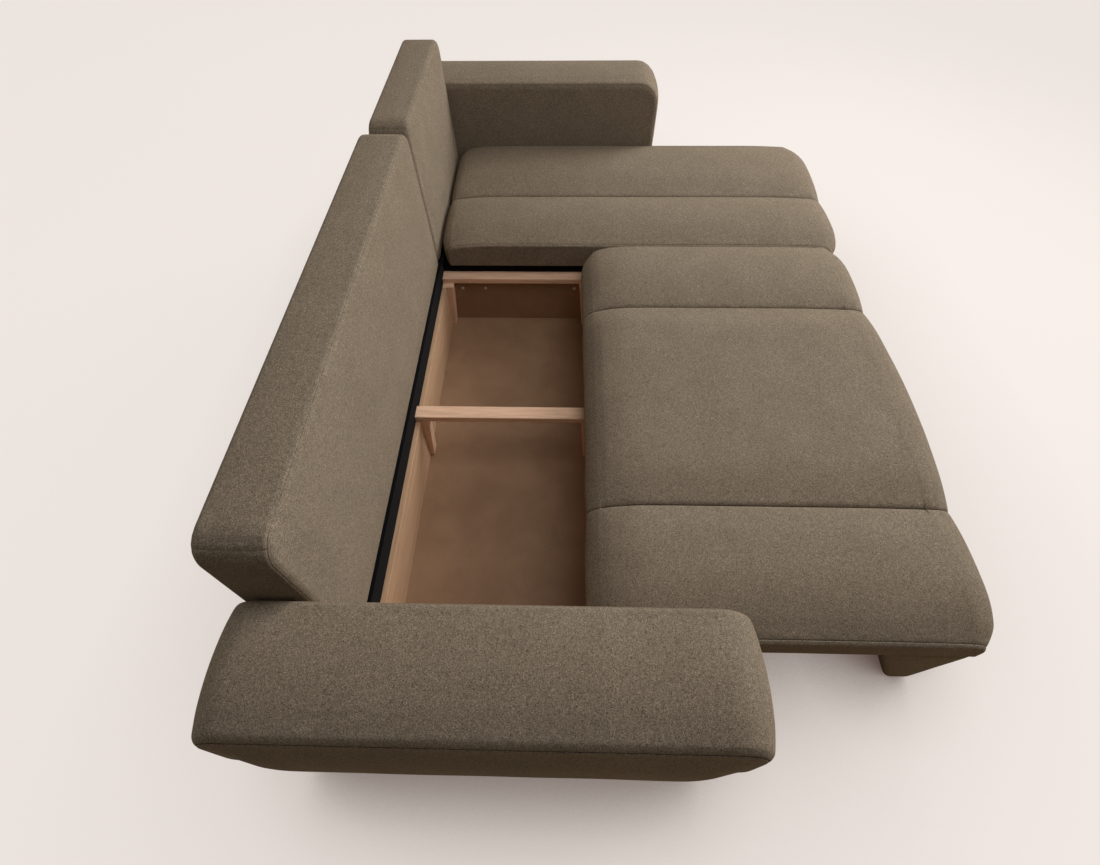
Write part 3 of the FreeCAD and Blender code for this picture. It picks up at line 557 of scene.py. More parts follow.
def ease(bm: Mesh, edges: list[bmesh.types.BMEdge], width: float, segments: int = 2) -> None:
    """Rounds edges by a width."""
    bmesh.ops.bevel(bm, geom=edges, offset=width, offset_type="OFFSET", segments=segments,
                    profile=0.5, affect="EDGES", clamp_overlap=True, material=-1)


def slice_at(bm: Mesh, axis: Axis, places: Iterable[float]) -> None:
    """Cuts every face of a mesh along planes square to an axis.

    Args:
        bm: The mesh.
        axis: The direction that the planes are square to.
        places: Where along it they lie.
    """
    normal = Vector((0, 0, 0))
    normal[axis.value] = 1
    for at in places:
        geometry = bm.verts[:] + bm.edges[:] + bm.faces[:]
        bmesh.ops.bisect_plane(bm, geom=geometry, dist=NEAR, plane_co=normal * at, plane_no=normal)


def stations(low: float, high: float, step: float, keep: Sequence[float] = ()) -> list[float]:
    """Even stations between two places that stay clear of the ones already there.

    Args:
        low: Start of the run.
        high: End of the run.
        step: About how far apart they are.
        keep: Places that are cut already.

    Returns:
        The stations in order.
    """
    count = max(1, round((high - low) / step))
    even = [low + (high - low) * i / count for i in range(1, count)]
    room = step * 0.4
    return [at for at in even if all(abs(at - k) > room for k in keep)]


def outline_pocket(bm: Mesh, low: Sequence[float], high: Sequence[float]) -> None:
    """Cuts a mesh along the four sides of a pocket."""
    for axis in (Axis.X, Axis.Y):
        slice_at(bm, axis, (low[axis.value], high[axis.value]))


def sink_pocket(bm: Mesh, low: Sequence[float], high: Sequence[float], facing: float,
                ceiling: float = math.inf) -> None:
    """Sinks an outlined pocket into the underside of a mesh.

    Args:
        bm: The mesh.
        low: The pocket's lowest corner.
        high: Its highest corner.
        facing: The height of a face's normal below which it belongs to the underside.
        ceiling: The height below which it does.
    """
    faces = []
    for face in bm.faces:
        middle = face.calc_center_median()
        if (face.normal.z < facing and middle.z < ceiling
                and all(low[i] < middle[i] < high[i] for i in (0, 1))):
            faces.append(face)
    made = bmesh.ops.extrude_face_region(bm, geom=faces)["geom"]
    bmesh.ops.delete(bm, geom=faces, context="FACES_ONLY")
    for item in made:
        if isinstance(item, bmesh.types.BMVert):
            item.co.z = high[2]


def clamped(share: float) -> float:
    """A share kept between 0 and 1."""
    return min(max(share, 0.0), 1.0)


def eased(share: float) -> float:
    """A quarter-ellipse from 0 to 1: steep at the seam and level from there on."""
    return math.sqrt(1 - (1 - clamped(share)) ** 2)


def gentle(share: float) -> float:
    """A parabola from 0 to 1: a softer rise than a quarter-ellipse."""
    return 1 - (1 - clamped(share)) ** 2


def rolled(share: float) -> float:
    """A rise from 0 to 1 with a crease at the seam and a long soft shoulder."""
    return 0.25 * eased(share * 2.5) + 0.75 * gentle(share)


def sewn(share: float) -> float:
    """A rise from 0 to 1 that is steep beside the seam, as where a cover is drawn down."""
    return 0.46 * eased(share * 3.0) + 0.54 * gentle(share)


def faded(share: float) -> float:
    """1 at 0, falling smoothly and ever more slowly to 0 at 1."""
    return (1 - clamped(share)) ** 2


def wavy(at: Vector, size: float, seed: float) -> float:
    """A smooth seeded unevenness from -1 to 1 with features of a size in metres."""
    return noise.noise(Vector((at.x / size + seed, at.y / size - seed * 2, at.z / size + seed * 3)))


@dataclass(frozen=True)
class Crown:
    """How one side of a cover stands over its plain profile, between its seams.

    It stands `rise` over it and falls within `shoulder` of a seam: to `end_levels` at the first
    and the last seam, and to `level` at the channels' seams between them. `bulge` adds to each
    channel, the more the wider it is.
    """

    rise: float
    level: float = 0.0
    shoulder: float = 0.05
    easing: Easing = eased
    end_levels: tuple[float, float] = (0.0, 0.0)
    end_easing: Easing = eased
    bulge: float = 0.0

    def at(self, place: float, seams: Sequence[float]) -> float:
        """How far the cover stands out at a place along the run.

        Args:
            place: Where along the run.
            seams: The seams in order.

        Returns:
            The distance from the plain profile.
        """
        height = self.rise
        for before, after in zip(seams, seams[1:]):
            if before < place < after:
                height += self.bulge * (place - before) * (after - place)
        last = len(seams) - 1
        for i, seam in enumerate(seams):
            level, easing = self.level, self.easing
            if i in (0, last):
                level, easing = self.end_levels[i > 0], self.end_easing
            beyond = (i == 0 and place < seam) or (i == last and place > seam)
            share = 0.0 if beyond else abs(place - seam) / self.shoulder
            if share < 1.0:
                height -= (self.rise - level) * (1 - easing(share))
        return height


@dataclass
class Pad:
    """A boxed foam pad: one profile run between two panels, with seams round both panels.

    The profile lies across `run`. Its four corners are rounded by `corners`, in the order
    low-low, high-low, high-high and low-high of the two other directions. `rims` are the rolls
    round the low and the high panel, and `seam_turns` how far round each roll its seam lies, in
    degrees from the panel. `channels` are seams across the profile, and `cross_seam` is the
    height of one along the near side. `pocket` holds the corners of the hollow for the frame.

    `puff` is the most that the filling moves the cover, and `groove` how deep its seams are
    drawn in. What ends in `_step` is the width of a face, in `_reach` a distance from a seam, and
    in `_facing` the height of a normal.
    """

    node: str
    body: Body
    low: Point
    high: Point
    run: Axis
    corners: tuple[float, float, float, float]
    rims: tuple[float, float]
    top: Crown
    low_side: Crown
    high_side: Crown
    panel_crown: tuple[float, float]
    bend: Callable[[Vector], Vector]
    pocket: tuple[Sequence[float], Sequence[float]]
    seed: float
    seam_turns: tuple[float, float] = (45.0, 45.0)
    channels: Sequence[float] = ()
    cross_seam: float | None = None
    undercut: float = 0.0
    panel_shoulder: float = 0.12
    puff: float = 0.004
    groove: float = 0.0025
    stitching: float = 1.0
    flank: float = 0.0018
    channel_flanks: tuple[float, ...] = (-0.008, 0.008, -0.020, 0.020)
    channel_clear: tuple[float, ...] = (-0.03, -0.02, 0, 0.02, 0.03)
    step: float = 0.03
    corner_step: float = 0.02
    rim_step: float = 0.006
    rim_inset: float = 0.012
    rim_share: float = 0.8
    unevenness: float = 0.0012
    wave: float = 0.16
    loose_reach: float = 0.04
    seam_reach: float = 0.022
    stitch_reach: float = 2e-4
    panel_limit: float = 0.15
    panel_fade: float = 0.7
    panel_hold: float = 0.6
    held_reach: float = 0.012
    held_facing: float = -0.3
    pocket_facing: float = -0.6
    pocket_ceiling: float = 0.02
    crease_angle: float = 1.2
    bm: Mesh = field(default_factory=bmesh.new, repr=False)
    seams: list[float] = field(default_factory=list, repr=False)

    @property
    def across(self) -> tuple[int, int]:
        """The two directions of the profile."""
        return tuple(i for i in range(3) if i != self.run.value)

    def flat(self, direction: Vector) -> Vector:
        """The part of a direction that lies in the profile; it is short on a panel."""
        return Vector(0.0 if i == self.run.value else c for i, c in enumerate(direction))

    def seam_distance(self, at: Vector) -> float:
        """How far along the run a point is from the nearest seam."""
        return min(abs(at[self.run.value] - s) for s in self.seams)

    def edge_distance(self, at: Vector) -> float:
        """How far a point of a panel is from the panel's nearest edge."""
        return min(min(at[i] - self.low[i], self.high[i] - at[i]) for i in self.across)

    def block_out(self) -> None:
        """Makes the rounded block with its seam loops and an even grid."""
        bm, run = self.bm, self.run.value
        u, v = self.across
        solid_block(bm, self.low, self.high)
        places = ((self.low[u], self.low[v]), (self.high[u], self.low[v]),
                  (self.high[u], self.high[v]), (self.low[u], self.high[v]))
        for (at_u, at_v), radius in zip(places, self.corners):
            edge = [e for e in bm.edges if all(
                abs(w.co[u] - at_u) < NEAR and abs(w.co[v] - at_v) < NEAR for w in e.verts)]
            ease(bm, edge, radius, max(3, round(radius * math.pi / 2 / self.corner_step)))
        cuts = []
        self.seams = [*self.channels]
        for end, inward, rim, turn in zip((self.low[run], self.high[run]), (1, -1), self.rims,
                                          self.seam_turns):
            loop = [e for e in bm.edges if all(abs(w.co[run] - end) < NEAR for w in e.verts)]
            ease(bm, loop, rim, max(4, round(rim / self.rim_step)))
            seam = end + inward * rim * (1 - math.cos(math.radians(turn)))
            self.seams.append(seam)
            aside = self.flank * math.sin(math.radians(turn))
            cuts += [seam, seam - aside, seam + aside]
        self.seams.sort()
        for seam in self.channels:
            cuts += [seam + d for d in (0, -self.flank, self.flank, *self.channel_flanks)]
        first, last = self.low[run] + self.rims[0], self.high[run] - self.rims[1]
        insets = (first + self.rim_inset, last - self.rim_inset)
        keep = [s + d for s in self.channels for d in self.channel_clear]
        for places in (cuts, insets, stations(first, last, self.step, (*insets, *keep))):
            slice_at(bm, self.run, places)
        for i in (u, v):
            slice_at(bm, Axis(i), stations(self.low[i], self.high[i], self.step))
        bmesh.ops.remove_doubles(bm, verts=bm.verts[:], dist=WELD)
        if self.cross_seam is not None:
            slice_at(bm, Axis.Z, (self.cross_seam + d for d in (-self.flank, 0, self.flank)))

    def mark(self) -> None:
        """Stores how near each vertex is to a seam, before the block is bent."""
        near, stitched = (self.bm.verts.layers.float.new(name) for name in ("seam", "stitch"))
        self.bm.normal_update()
        for vert in self.bm.verts:
            distance = self.seam_distance(vert.co)
            if self.flat(vert.normal).length < self.panel_limit:
                distance = self.rims[0] * self.rim_share + self.edge_distance(vert.co)
            if self.cross_seam is not None and vert.normal.x < -FACING:
                distance = min(distance, abs(vert.co.z - self.cross_seam))
            vert[near] = math.exp(-((distance / self.seam_reach) ** 2))
            vert[stitched] = self.stitching if distance < self.stitch_reach else 0.0

    def rise(self, at: Vector, facing: Vector) -> float:
        """How far the wrapped cover stands over the plain profile.

        Args:
            at: A point on the profile.
            facing: The way the profile faces there, of length 1.

        Returns:
            The distance along that direction.
        """
        u, v = self.across
        place = at[self.run.value]
        grown = eased((at[v] - self.low[v]) / self.undercut) if self.undercut else 1.0
        up, side = max(0.0, facing[v]) ** 2, facing[u] ** 2
        flank = self.low_side if facing[u] < 0 else self.high_side
        return up * self.top.at(place, self.seams) + side * grown * flank.at(place, self.seams)

    def swell(self) -> None:
        """Crowns the cover between its seams, and each panel between its edges."""
        run = self.run.value
        for vert in self.bm.verts:
            at, normal, flat = vert.co, vert.normal, self.flat(vert.normal)
            wrapped, shown = flat.length > self.panel_limit, normal.z > -FACING
            move = Vector((0, 0, 0))
            if wrapped and shown:
                facing = flat.normalized()
                move += facing * (self.rise(at, facing) * min(1.0, flat.length / self.panel_fade))
            if abs(normal[run]) > FACING:
                side = int(normal[run] > 0)
                share = gentle((self.edge_distance(at) - self.rims[side]) / self.panel_shoulder)
                move[run] += math.copysign(self.panel_crown[side] * share, normal[run])
            if shown:
                loose = min(1.0, self.seam_distance(at) / self.loose_reach) if wrapped else 1.0
                move += normal * (self.unevenness * loose * wavy(at, self.wave, self.seed))
            vert.co += move

    def prepare(self) -> bpy.types.Object:
        """Makes everything up to the filling.

        Returns:
            A stand-in object that the cloth is filled on.
        """
        bm = self.bm
        self.block_out()
        self.mark()
        held = [i for i, vert in enumerate(bm.verts)
                if self.seam_distance(vert.co) < self.held_reach
                or vert.normal.z < self.held_facing]
        self.swell()
        for vert in bm.verts:
            vert.co = self.bend(vert.co)
        bmesh.ops.recalc_face_normals(bm, faces=bm.faces[:])
        stand_in = placed(self.node + "_filling", bm)
        stand_in.vertex_groups.new(name="held").add(held, 1.0, "REPLACE")
        cloth = stand_in.modifiers.new("Cloth", "CLOTH")
        for name, value in FILLING.items():
            setattr(cloth.settings, name, value)
        cloth.settings.effector_weights.gravity = 0
        cloth.point_cache.frame_start = 1
        cloth.point_cache.frame_end = FILL_FRAMES
        return stand_in

    def take_filling(self, stand_in: bpy.types.Object) -> None:
        """Moves the vertices to where the filled cloth went, but no further than the puff.

        Args:
            stand_in: The object that the cloth was filled on.
        """
        graph = bpy.context.evaluated_depsgraph_get()
        filled = stand_in.evaluated_get(graph).to_mesh()
        for vert, there in zip(self.bm.verts, filled.vertices):
            move, out = there.co - vert.co, vert.normal[self.run.value]
            allowed = self.puff
            if abs(out) > self.panel_hold:
                allowed = min(allowed, self.panel_crown[int(out > 0)])
            if move.length > allowed:
                move *= allowed / move.length
            vert.co += move
        stand_in.to_mesh_clear()

    def sew(self) -> None:
        """Draws the seams in, and hollows the underside for the frame."""
        bm = self.bm
        bm.normal_update()
        stitched = bm.verts.layers.float["stitch"]
        for vert in bm.verts:
            if vert[stitched] > 0:
                depth = self.groove * (0.8 + 0.4 * wavy(vert.co, 0.05, self.seed + 4))
                vert.co -= vert.normal * depth
        low, high = self.pocket
        outline_pocket(bm, low, high)
        bottom = min(v.co.z for v in bm.verts)
        sink_pocket(bm, low, high, self.pocket_facing, bottom + self.pocket_ceiling)
        crease = bm.edges.layers.float.new("crease_edge")
        for edge in bm.edges:
            if len(edge.link_faces) == 2 and edge.calc_face_angle(0.0) > self.crease_angle:
                middle = (edge.verts[0].co + edge.verts[1].co) / 2
                if all(low[i] - 1e-3 < middle[i] < high[i] + 1e-3 for i in (0, 1)):
                    edge[crease] = 1.0

    def complete(self) -> None:
        """Sews and dresses the pad."""
        self.sew()
        made = piece(self.node + "_pad", self.bm, FELT, self.body, self.node,
                     levels=2)


def fill_pads(pads: Sequence[Pad]) -> None:
    """Blocks out, fills and sews a set of pads, all in one run of the cloth.

    Args:
        pads: The pads to make.
    """
    stand_ins = [pad.prepare() for pad in pads]
    for number in range(1, FILL_FRAMES + 1):
        bpy.context.scene.frame_set(number)
    for pad, stand_in in zip(pads, stand_ins):
        pad.take_filling(stand_in)
    for stand_in in stand_ins:
        mesh = stand_in.data
        bpy.data.objects.remove(stand_in)
        bpy.data.meshes.remove(mesh)
    bpy.context.scene.frame_set(1)
    for pad in pads:
        pad.complete()


# ---------------------------------------------------------------- sub-assemblies
@dataclass
class Arms:
    """The two arms: a wide band over front, top and rear between an inner and an outer panel."""

    crown: float = 0.029
    far_crown: float = 0.019
    inner_lift: float = 0.012
    side_swell: float = 0.018
    inner_swell: float = 0.001
    end_swell: float = 0.012
    end_inset: float = 0.006
    widest: float = 0.45
    taper: float = 0.040
    lean: float = 0.004
    end_taper: float = 0.018
    rear_lean: float = 0.022
    front_round: float = 0.085
    rear_round: float = 0.062
    foot_round: float = 0.020
    outer_roll: float = 0.038
    inner_roll: float = 0.036
    outer_turn: float = 22.0
    inner_turn: float = 34.0

    def lean_in(self, side: int, low: Vector, high: Vector, at: Vector) -> Vector:
        """Gives a point the form of an arm: widest part way up, leaning in to floor and top.

        Args:
            side: -1 for the arm beside the pull-out seat and 1 for the other.
            low: The arm's lowest corner.
            high: Its highest corner.
            at: The point.

        Returns:
            Its new place.
        """
        middle, half = (low + high) / 2, (high - low) / 2
        below = max(0.0, (self.widest - at.z) / (self.widest - low[2]))
        above = max(0.0, (at.z - self.widest) / (high[2] - self.widest))
        outward = clamped(0.5 + 0.5 * side * (at.x - middle.x) / half.x)
        lean = (self.taper * below ** 1.1 + self.lean * above ** 1.5) * outward
        along = (at.y - middle.y) / half.y
        tuck = self.end_taper * below ** 1.3 * along + self.rear_lean * above * max(0.0, along) ** 2
        return Vector((at.x - side * lean, at.y - tuck, at.z))

    def pads(self) -> list[Pad]:
        """The two pads, ready to fill.

        Returns:
            The arm beside the pull-out seat and the one beside the chaise.
        """
        made = []
        outer = (self.outer_roll, self.outer_turn, self.side_swell, 0.0)
        inner = (self.inner_roll, self.inner_turn, self.inner_swell, self.inner_lift)
        ends = Crown(self.end_swell, shoulder=0.12, end_easing=gentle)
        for side, node, rise in ((-1, "left_arm", self.crown), (1, "right_arm", self.far_crown)):
            low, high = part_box(node)
            rims, turns, swells, lifts = zip(*((outer, inner) if side < 0 else (inner, outer)))
            made.append(Pad(
                node, Body.SOFA, low=(low[0], low[1] + self.end_inset, low[2]),
                high=(high[0], high[1] + self.end_inset, high[2] - rise), run=Axis.X,
                corners=(self.foot_round, self.foot_round, self.rear_round, self.front_round),
                rims=rims, seam_turns=turns, panel_crown=swells, panel_shoulder=0.10,
                top=Crown(rise, shoulder=0.14, end_levels=lifts, end_easing=rolled),
                low_side=ends, high_side=ends, undercut=0.25, puff=0.003, seed=2.0 + side,
                bend=partial(self.lean_in, side, low, high), pocket=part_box(node + "_frame")))
        return made


@dataclass
class Backs:
    """The two back cushions: front and rear panels with a band over the ends and the top."""

    bow: float = 0.008
    rear_crown: float = 0.004
    tilt: float = 1.8
    top_round: float = 0.058
    foot_round: float = 0.020
    roll: float = 0.030
    long_rear_out: float = 0.014
    cross_seam_drop: float = 0.017

    def lean_back(self, low: Vector, high: Vector, at: Vector) -> Vector:
        """Leans a point back, the more the nearer it is to the front: the rear is upright.

        Args:
            low: The cushion's lowest corner.
            high: Its highest corner.
            at: The point.

        Returns:
            Its new place.
        """
        forward = clamped((high[1] - at.y) / (high[1] - low[1]))
        slope = math.tan(math.radians(self.tilt))
        return at + Vector((0, slope * (at.z - low[2]) * forward, 0))

    def pads(self) -> list[Pad]:
        """The two pads, ready to fill.

        Returns:
            The long one and the short one.
        """
        made = []
        for name, rear_out in (("long", self.long_rear_out), ("short", 0.0)):
            node = "back_cushion_" + name
            low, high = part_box(node)
            made.append(Pad(
                node, Body.SOFA, low=(low[0], low[1] + self.bow, low[2]),
                high=(high[0], high[1] + rear_out, high[2]), run=Axis.Y,
                corners=(self.foot_round, self.foot_round, self.top_round, self.top_round),
                rims=(self.roll, self.roll), top=Crown(0.001, shoulder=0.06),
                low_side=Crown(0.001), high_side=Crown(0.001), groove=0.0012, stitching=0.4,
                panel_crown=(self.bow, self.rear_crown), puff=0.003, seed=5.0 + low[0],
                bend=partial(self.lean_back, low, high), pocket=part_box("back_frame_" + name),
                cross_seam=high[2] - self.cross_seam_drop))
        return made


@dataclass(frozen=True)
class SeatSizes:
    """One seat's own sizes; `widths` are its channels' but the last one's, from the near end."""

    kind: str
    body: Body
    widths: tuple[float, ...]
    seed: float
    front_out: float
    rear_round: float
    rear_fall: float
    near_fall: float


@dataclass
class Seats:
    """The pull-out seat and the chaise cushion, sewn into channels front to rear."""

    seam_height: float = 0.433
    front_swell: float = 0.027
    front_bulge: float = 0.19
    rear_swell: float = 0.008
    crown: float = 0.0125
    front_round: float = 0.060
    dome: float = 0.011
    dome_length: float = 0.28
    rear_length: float = 0.16
    corner_pull: float = 0.026
    corner_length: float = 0.075
    front_corner_pull: float = 0.024
    corner_depth: float = 0.10
    near_length: float = 0.15
    both: tuple[SeatSizes, SeatSizes] = (
        SeatSizes("seat", Body.SEAT, widths=(0.365, 0.794), seed=7.3, front_out=0.008,
                  rear_round=0.050, rear_fall=0.035, near_fall=0.037),
        SeatSizes("chaise", Body.SOFA, widths=(0.334,), seed=9.1, front_out=0.020,
                  rear_round=0.035, rear_fall=0.010, near_fall=0.017))

    def soften(self, own: SeatSizes, low: Vector, high: Vector, at: Vector) -> Vector:
        """Drops a point of the top towards front, rear and near end, and rounds the corners.

        Args:
            own: The seat's own sizes.
            low: The seat's lowest corner.
            high: Its highest corner.
            at: The point.

        Returns:
            Its new place.
        """
        from_front, from_rear = at.y - low[1], high[1] - at.y
        height = clamped((at.z - low[2]) / (self.seam_height - low[2]))
        fall = (self.dome * faded(from_front / self.dome_length)
                + self.dome * faded(from_rear / self.dome_length)
                + own.rear_fall * faded(from_rear / self.rear_length)
                + own.near_fall * faded((at.x - low[0]) / self.near_length))
        corner = faded(min(at.x - low[0], high[0] - at.x) / self.corner_length)
        pull = (self.corner_pull * faded(from_rear / self.corner_depth)
                - self.front_corner_pull * faded(from_front / self.corner_depth))
        return Vector((at.x, at.y - pull * corner, at.z - fall * height))

    def pads(self) -> list[Pad]:
        """The two pads, ready to fill.

        Returns:
            The pull-out seat and the chaise.
        """
        made = []
        for own in self.both:
            node = own.kind + "_cushion"
            low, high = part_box(node)
            bay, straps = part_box(own.kind + "_frame"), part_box(own.kind + "_webbing")
            made.append(Pad(
                node, own.body, low=(low[0], low[1] + self.front_swell - own.front_out, low[2]),
                high=(high[0], high[1] - self.rear_swell, self.seam_height), run=Axis.X,
                corners=(0.008, 0.012, own.rear_round, self.front_round), rims=(0.030, 0.020),
                seam_turns=(48.0, 40.0), channels=[*accumulate(own.widths, initial=low[0])][1:],
                top=Crown(self.crown, level=-0.018, shoulder=0.16, easing=sewn,
                          end_levels=(0.0, -0.008), end_easing=gentle),
                low_side=Crown(self.front_swell, level=0.022, shoulder=0.15,
                               bulge=self.front_bulge),
                high_side=Crown(self.rear_swell, level=0.002, shoulder=0.12), undercut=0.045,
                panel_crown=(0.001, 0.001), seed=own.seed,
                bend=partial(self.soften, own, low, high),
                pocket=(bay[0], (bay[1][0], bay[1][1], straps[1][2]))))
        return made


@dataclass
class Panels:
    """Upholstered boards: the wedge panels under the seats' fronts, and the flat ones."""

    ease: float = 0.006
    wedge_round: float = 0.016
    end_lean: float = 0.014
    front_lean: float = 0.013
    front_out: float = 0.010
    foot_depth: float = 0.070
    pocket_play: Point = (0.001, 0.001, 0.0005)
    step: float = 0.045
    swell: float = 0.0016
    inset: float = 0.001
    swell_reach: float = 0.05
    wave: float = 0.12

    def cover(self, node: str, bm: Mesh, body: Body, finish: Material = FELT,
              slot: str = "upholstered_panel") -> None:
        """Slices, softens and dresses one covered board.

        Args:
            node: The CAD node that it stands for.
            bm: Its blocked-out mesh.
            body: What it rides on.
            finish: The cloth that covers it.
            slot: The record's material slot; not used.
        """
        low, high = ([end(v.co[i] for v in bm.verts) for i in range(3)] for end in (min, max))
        for axis, start, end in zip(Axis, low, high):
            if end - start > self.step * 2:
                slice_at(bm, axis, stations(start, end, self.step))
        bmesh.ops.remove_doubles(bm, verts=bm.verts[:], dist=WELD)
        bmesh.ops.recalc_face_normals(bm, faces=bm.faces[:])
        for name in ("seam", "stitch"):
            bm.verts.layers.float.new(name)
        for vert in bm.verts:
            inside = sorted(min(c - a, b - c) for c, a, b in zip(vert.co, low, high))[1]
            uneven = eased(inside / self.swell_reach) * 0.7 + 0.4 * wavy(vert.co, self.wave, 3.0)
            vert.co += vert.normal * (self.swell * uneven - self.inset)
        made = piece(node + "_cover", bm, finish, body, node, levels=1)

    def flat(self, node: str, *dress: Material | str) -> None:
        """One flat board under its cover.

        Args:
            node: The CAD node that it stands for.
            *dress: Its finish and slot where it isn't covered in felt.
        """
        bm = bmesh.new()
        solid_block(bm, *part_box(node))
        ease(bm, bm.edges[:], self.ease, 3)
        self.cover(node, bm, Body.SOFA, *dress)

    def wedge(self, node: str, body: Body, castors: Sequence[str] = ()) -> None:
        """One front panel: deep at the top and narrow at the floor, with pockets for castors.

        Args:
            node: The CAD node that it stands for.
            body: What it rides on.
            castors: The nodes that it has a pocket for.
        """
        low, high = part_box(node)
        bm = bmesh.new()
        middle = (low + high) / 2
        front = low[1] + self.front_lean
        for vert in solid_block(bm, low, high):
            if vert.co.z < middle.z:
                vert.co.y = front if vert.co.y < middle.y else front + self.foot_depth
                vert.co.x += math.copysign(self.end_lean, middle.x - vert.co.x)
            elif vert.co.y < middle.y:
                vert.co.y -= self.front_out
        lower = [e for e in bm.edges if all(v.co.z < low[2] + NEAR for v in e.verts)]
        upright = [e for e in bm.edges if abs(e.verts[0].co.z - e.verts[1].co.z) > NEAR]
        ease(bm, lower + upright, self.wedge_round, 4)
        for castor in castors:
            start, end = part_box(castor)
            pocket = (start - Vector(self.pocket_play), end + Vector(self.pocket_play))
            outline_pocket(bm, *pocket)
            bm.normal_update()
            sink_pocket(bm, *pocket, -FACING)
        self.cover(node, bm, body)

    def build(self) -> None:
        """Makes every covered board."""
        self.wedge("seat_front_panel", Body.SEAT, ("castor_bracket_near", "castor_bracket_far"))
        self.wedge("chaise_front_panel", Body.SOFA)
        # Painted shade: the chaise's near side panel is dressed in black cloth to stand for the
        # shade under the cushion's overhang.
        self.flat("chaise_side_near", BLACK_CLOTH_AND_PAINTED_SHADE, "black_cloth")
        for node in ("chaise_side_far", "rear_panel_long", "rear_panel_short"):
            self.flat(node)


@dataclass
class StorageBox:
    """The wooden box under the pull-out seat, with eased edges on every bar and board."""

    ease: float = 0.0016
    bar_ease: float = 0.0025
    bar_width: float = 0.050
    post_length: float = 0.041
    post_top: float = 0.045
    post_foot: float = 0.030

    def dress(self, name: str, bm: Mesh, node: str, finish: Material, slot: str,
              width: float) -> None:
        """Eases the edges of a node's bars or boards and dresses them.

        Args:
            name: The piece's name.
            bm: Its blocked-out mesh.
            node: The CAD node that it stands for.
            finish: Its material.
            slot: The record's material slot; not used.
            width: How far the edges are eased.
        """
        ease(bm, bm.edges[:], width)
        piece(name, bm, finish, Body.SOFA, node, smooth=False)

    def posts(self) -> Mesh:
        """The six posts, narrower at the floor.

        Returns:
            Their blocked-out mesh.
        """
        low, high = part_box("box_posts")
        near, crossbar, far = (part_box("box_" + name)
                               for name in ("near_wall", "crossbar", "far_wall"))
        length, deep = self.post_length, self.post_top
        bm = bmesh.new()
        for x in (near[1][0], crossbar[0][0], far[0][0] - length):
            for y, rear in ((low[1], False), (high[1] - deep, True)):
                for vert in solid_block(bm, (x, y, low[2]), (x + length, y + deep, high[2])):
                    inner = vert.co.y < y + deep / 2 if rear else vert.co.y > y + deep / 2
                    if vert.co.z < (low[2] + high[2]) / 2 and inner:
                        vert.co.y += (deep - self.post_foot) * (1 if rear else -1)
        return bm

    def build(self) -> None:
        """Makes every bar and board of the box."""
        low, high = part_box("box_rim_bars")
        bars = bmesh.new()
        solid_block(bars, low, (low[0] + self.bar_width, high[1], high[2]))
        solid_block(bars, (high[0] - self.bar_width, low[1], low[2]), high)
        self.dress("box_rim_bars_eased", bars, "box_rim_bars", PALE_WOOD[Axis.Y], "light_wood",
                   self.bar_ease)
        boards = [("crossbar", PALE_WOOD[Axis.Y], "light_wood", self.bar_ease)]
        boards += [(name, BOX_WOOD, "brown_board", self.ease) for name in (
            "rear_board_a", "rear_board_b", "front_board_a", "front_board_b")]
        boards += [(name, BROWN_BOARD, "brown_board", self.ease) for name in (
            "near_wall", "far_wall", "floor")]
        for name, finish, slot, width in boards:
            node = "box_" + name
            bm = bmesh.new()
            solid_block(bm, *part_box(node))
            self.dress(node + "_board", bm, node, finish, slot, width)
        self.dress("box_posts_eased", self.posts(), "box_posts", PALE_WOOD[Axis.Z], "light_wood",
                   self.ease)


@dataclass
class Screws:
    """Pan-head cross-recess screws that hold the slides to the walls."""

    head: float = 0.0065
    height: float = 0.003
    shank: float = 0.0024
    recess: float = 0.0036
    point: float = 0.002
    from_rear: tuple[float, ...] = (0.076, 0.172)
    from_front: float = 0.065
    steps: int = 24

    def screw(self, bm: Mesh, at: Point, inward: int, length: float) -> None:
        """Adds one screw, its axis along X.

        Args:
            bm: The mesh to add it to.
            at: The middle of the wall's face under the head.
            inward: Which way the shank runs, 1 or -1.
            length: The shank's length under the head.
        """
        r, h = self.head, self.height
        outline = [(0.0, -h * 0.55), (self.recess * 0.5, -h * 0.6), (self.recess, -h),
                   (r * 0.80, -h * 0.86), (r * 0.97, -h * 0.45), (r, 0.0), (self.shank, 0.0),
                   (self.shank, length - self.point), (0.0, length)]
        verts = [bm.verts.new((at[0] + inward * x, at[1] + radius, at[2])) for radius, x in outline]
        edges = [bm.edges.new(pair) for pair in zip(verts, verts[1:])]
        bmesh.ops.spin(bm, geom=verts + edges, cent=at, axis=(1, 0, 0), dvec=(0, 0, 0),
                       angle=math.tau, steps=self.steps, use_merge=True)

    def build(self) -> None:
        """Makes the screws of both walls."""
        front, rear = (corner[1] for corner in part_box("box_far_wall"))
        for name, inward, edge in (("far", 1, 0), ("near", -1, 1)):
            node = "slide_screws_" + name
            low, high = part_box(node)
            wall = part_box("box_%s_wall" % name)[edge][0]
            length = abs((high[0] if inward > 0 else low[0]) - wall)
            bm = bmesh.new()
            z = (low[2] + high[2]) / 2
            for y in (*(rear - back for back in self.from_rear), front + self.from_front):
                self.screw(bm, (wall, y, z), inward, length)
            bmesh.ops.remove_doubles(bm, verts=bm.verts[:], dist=NEAR)
            bmesh.ops.recalc_face_normals(bm, faces=bm.faces[:])
            piece(node + "_heads", bm, ZINC, Body.SOFA, node)


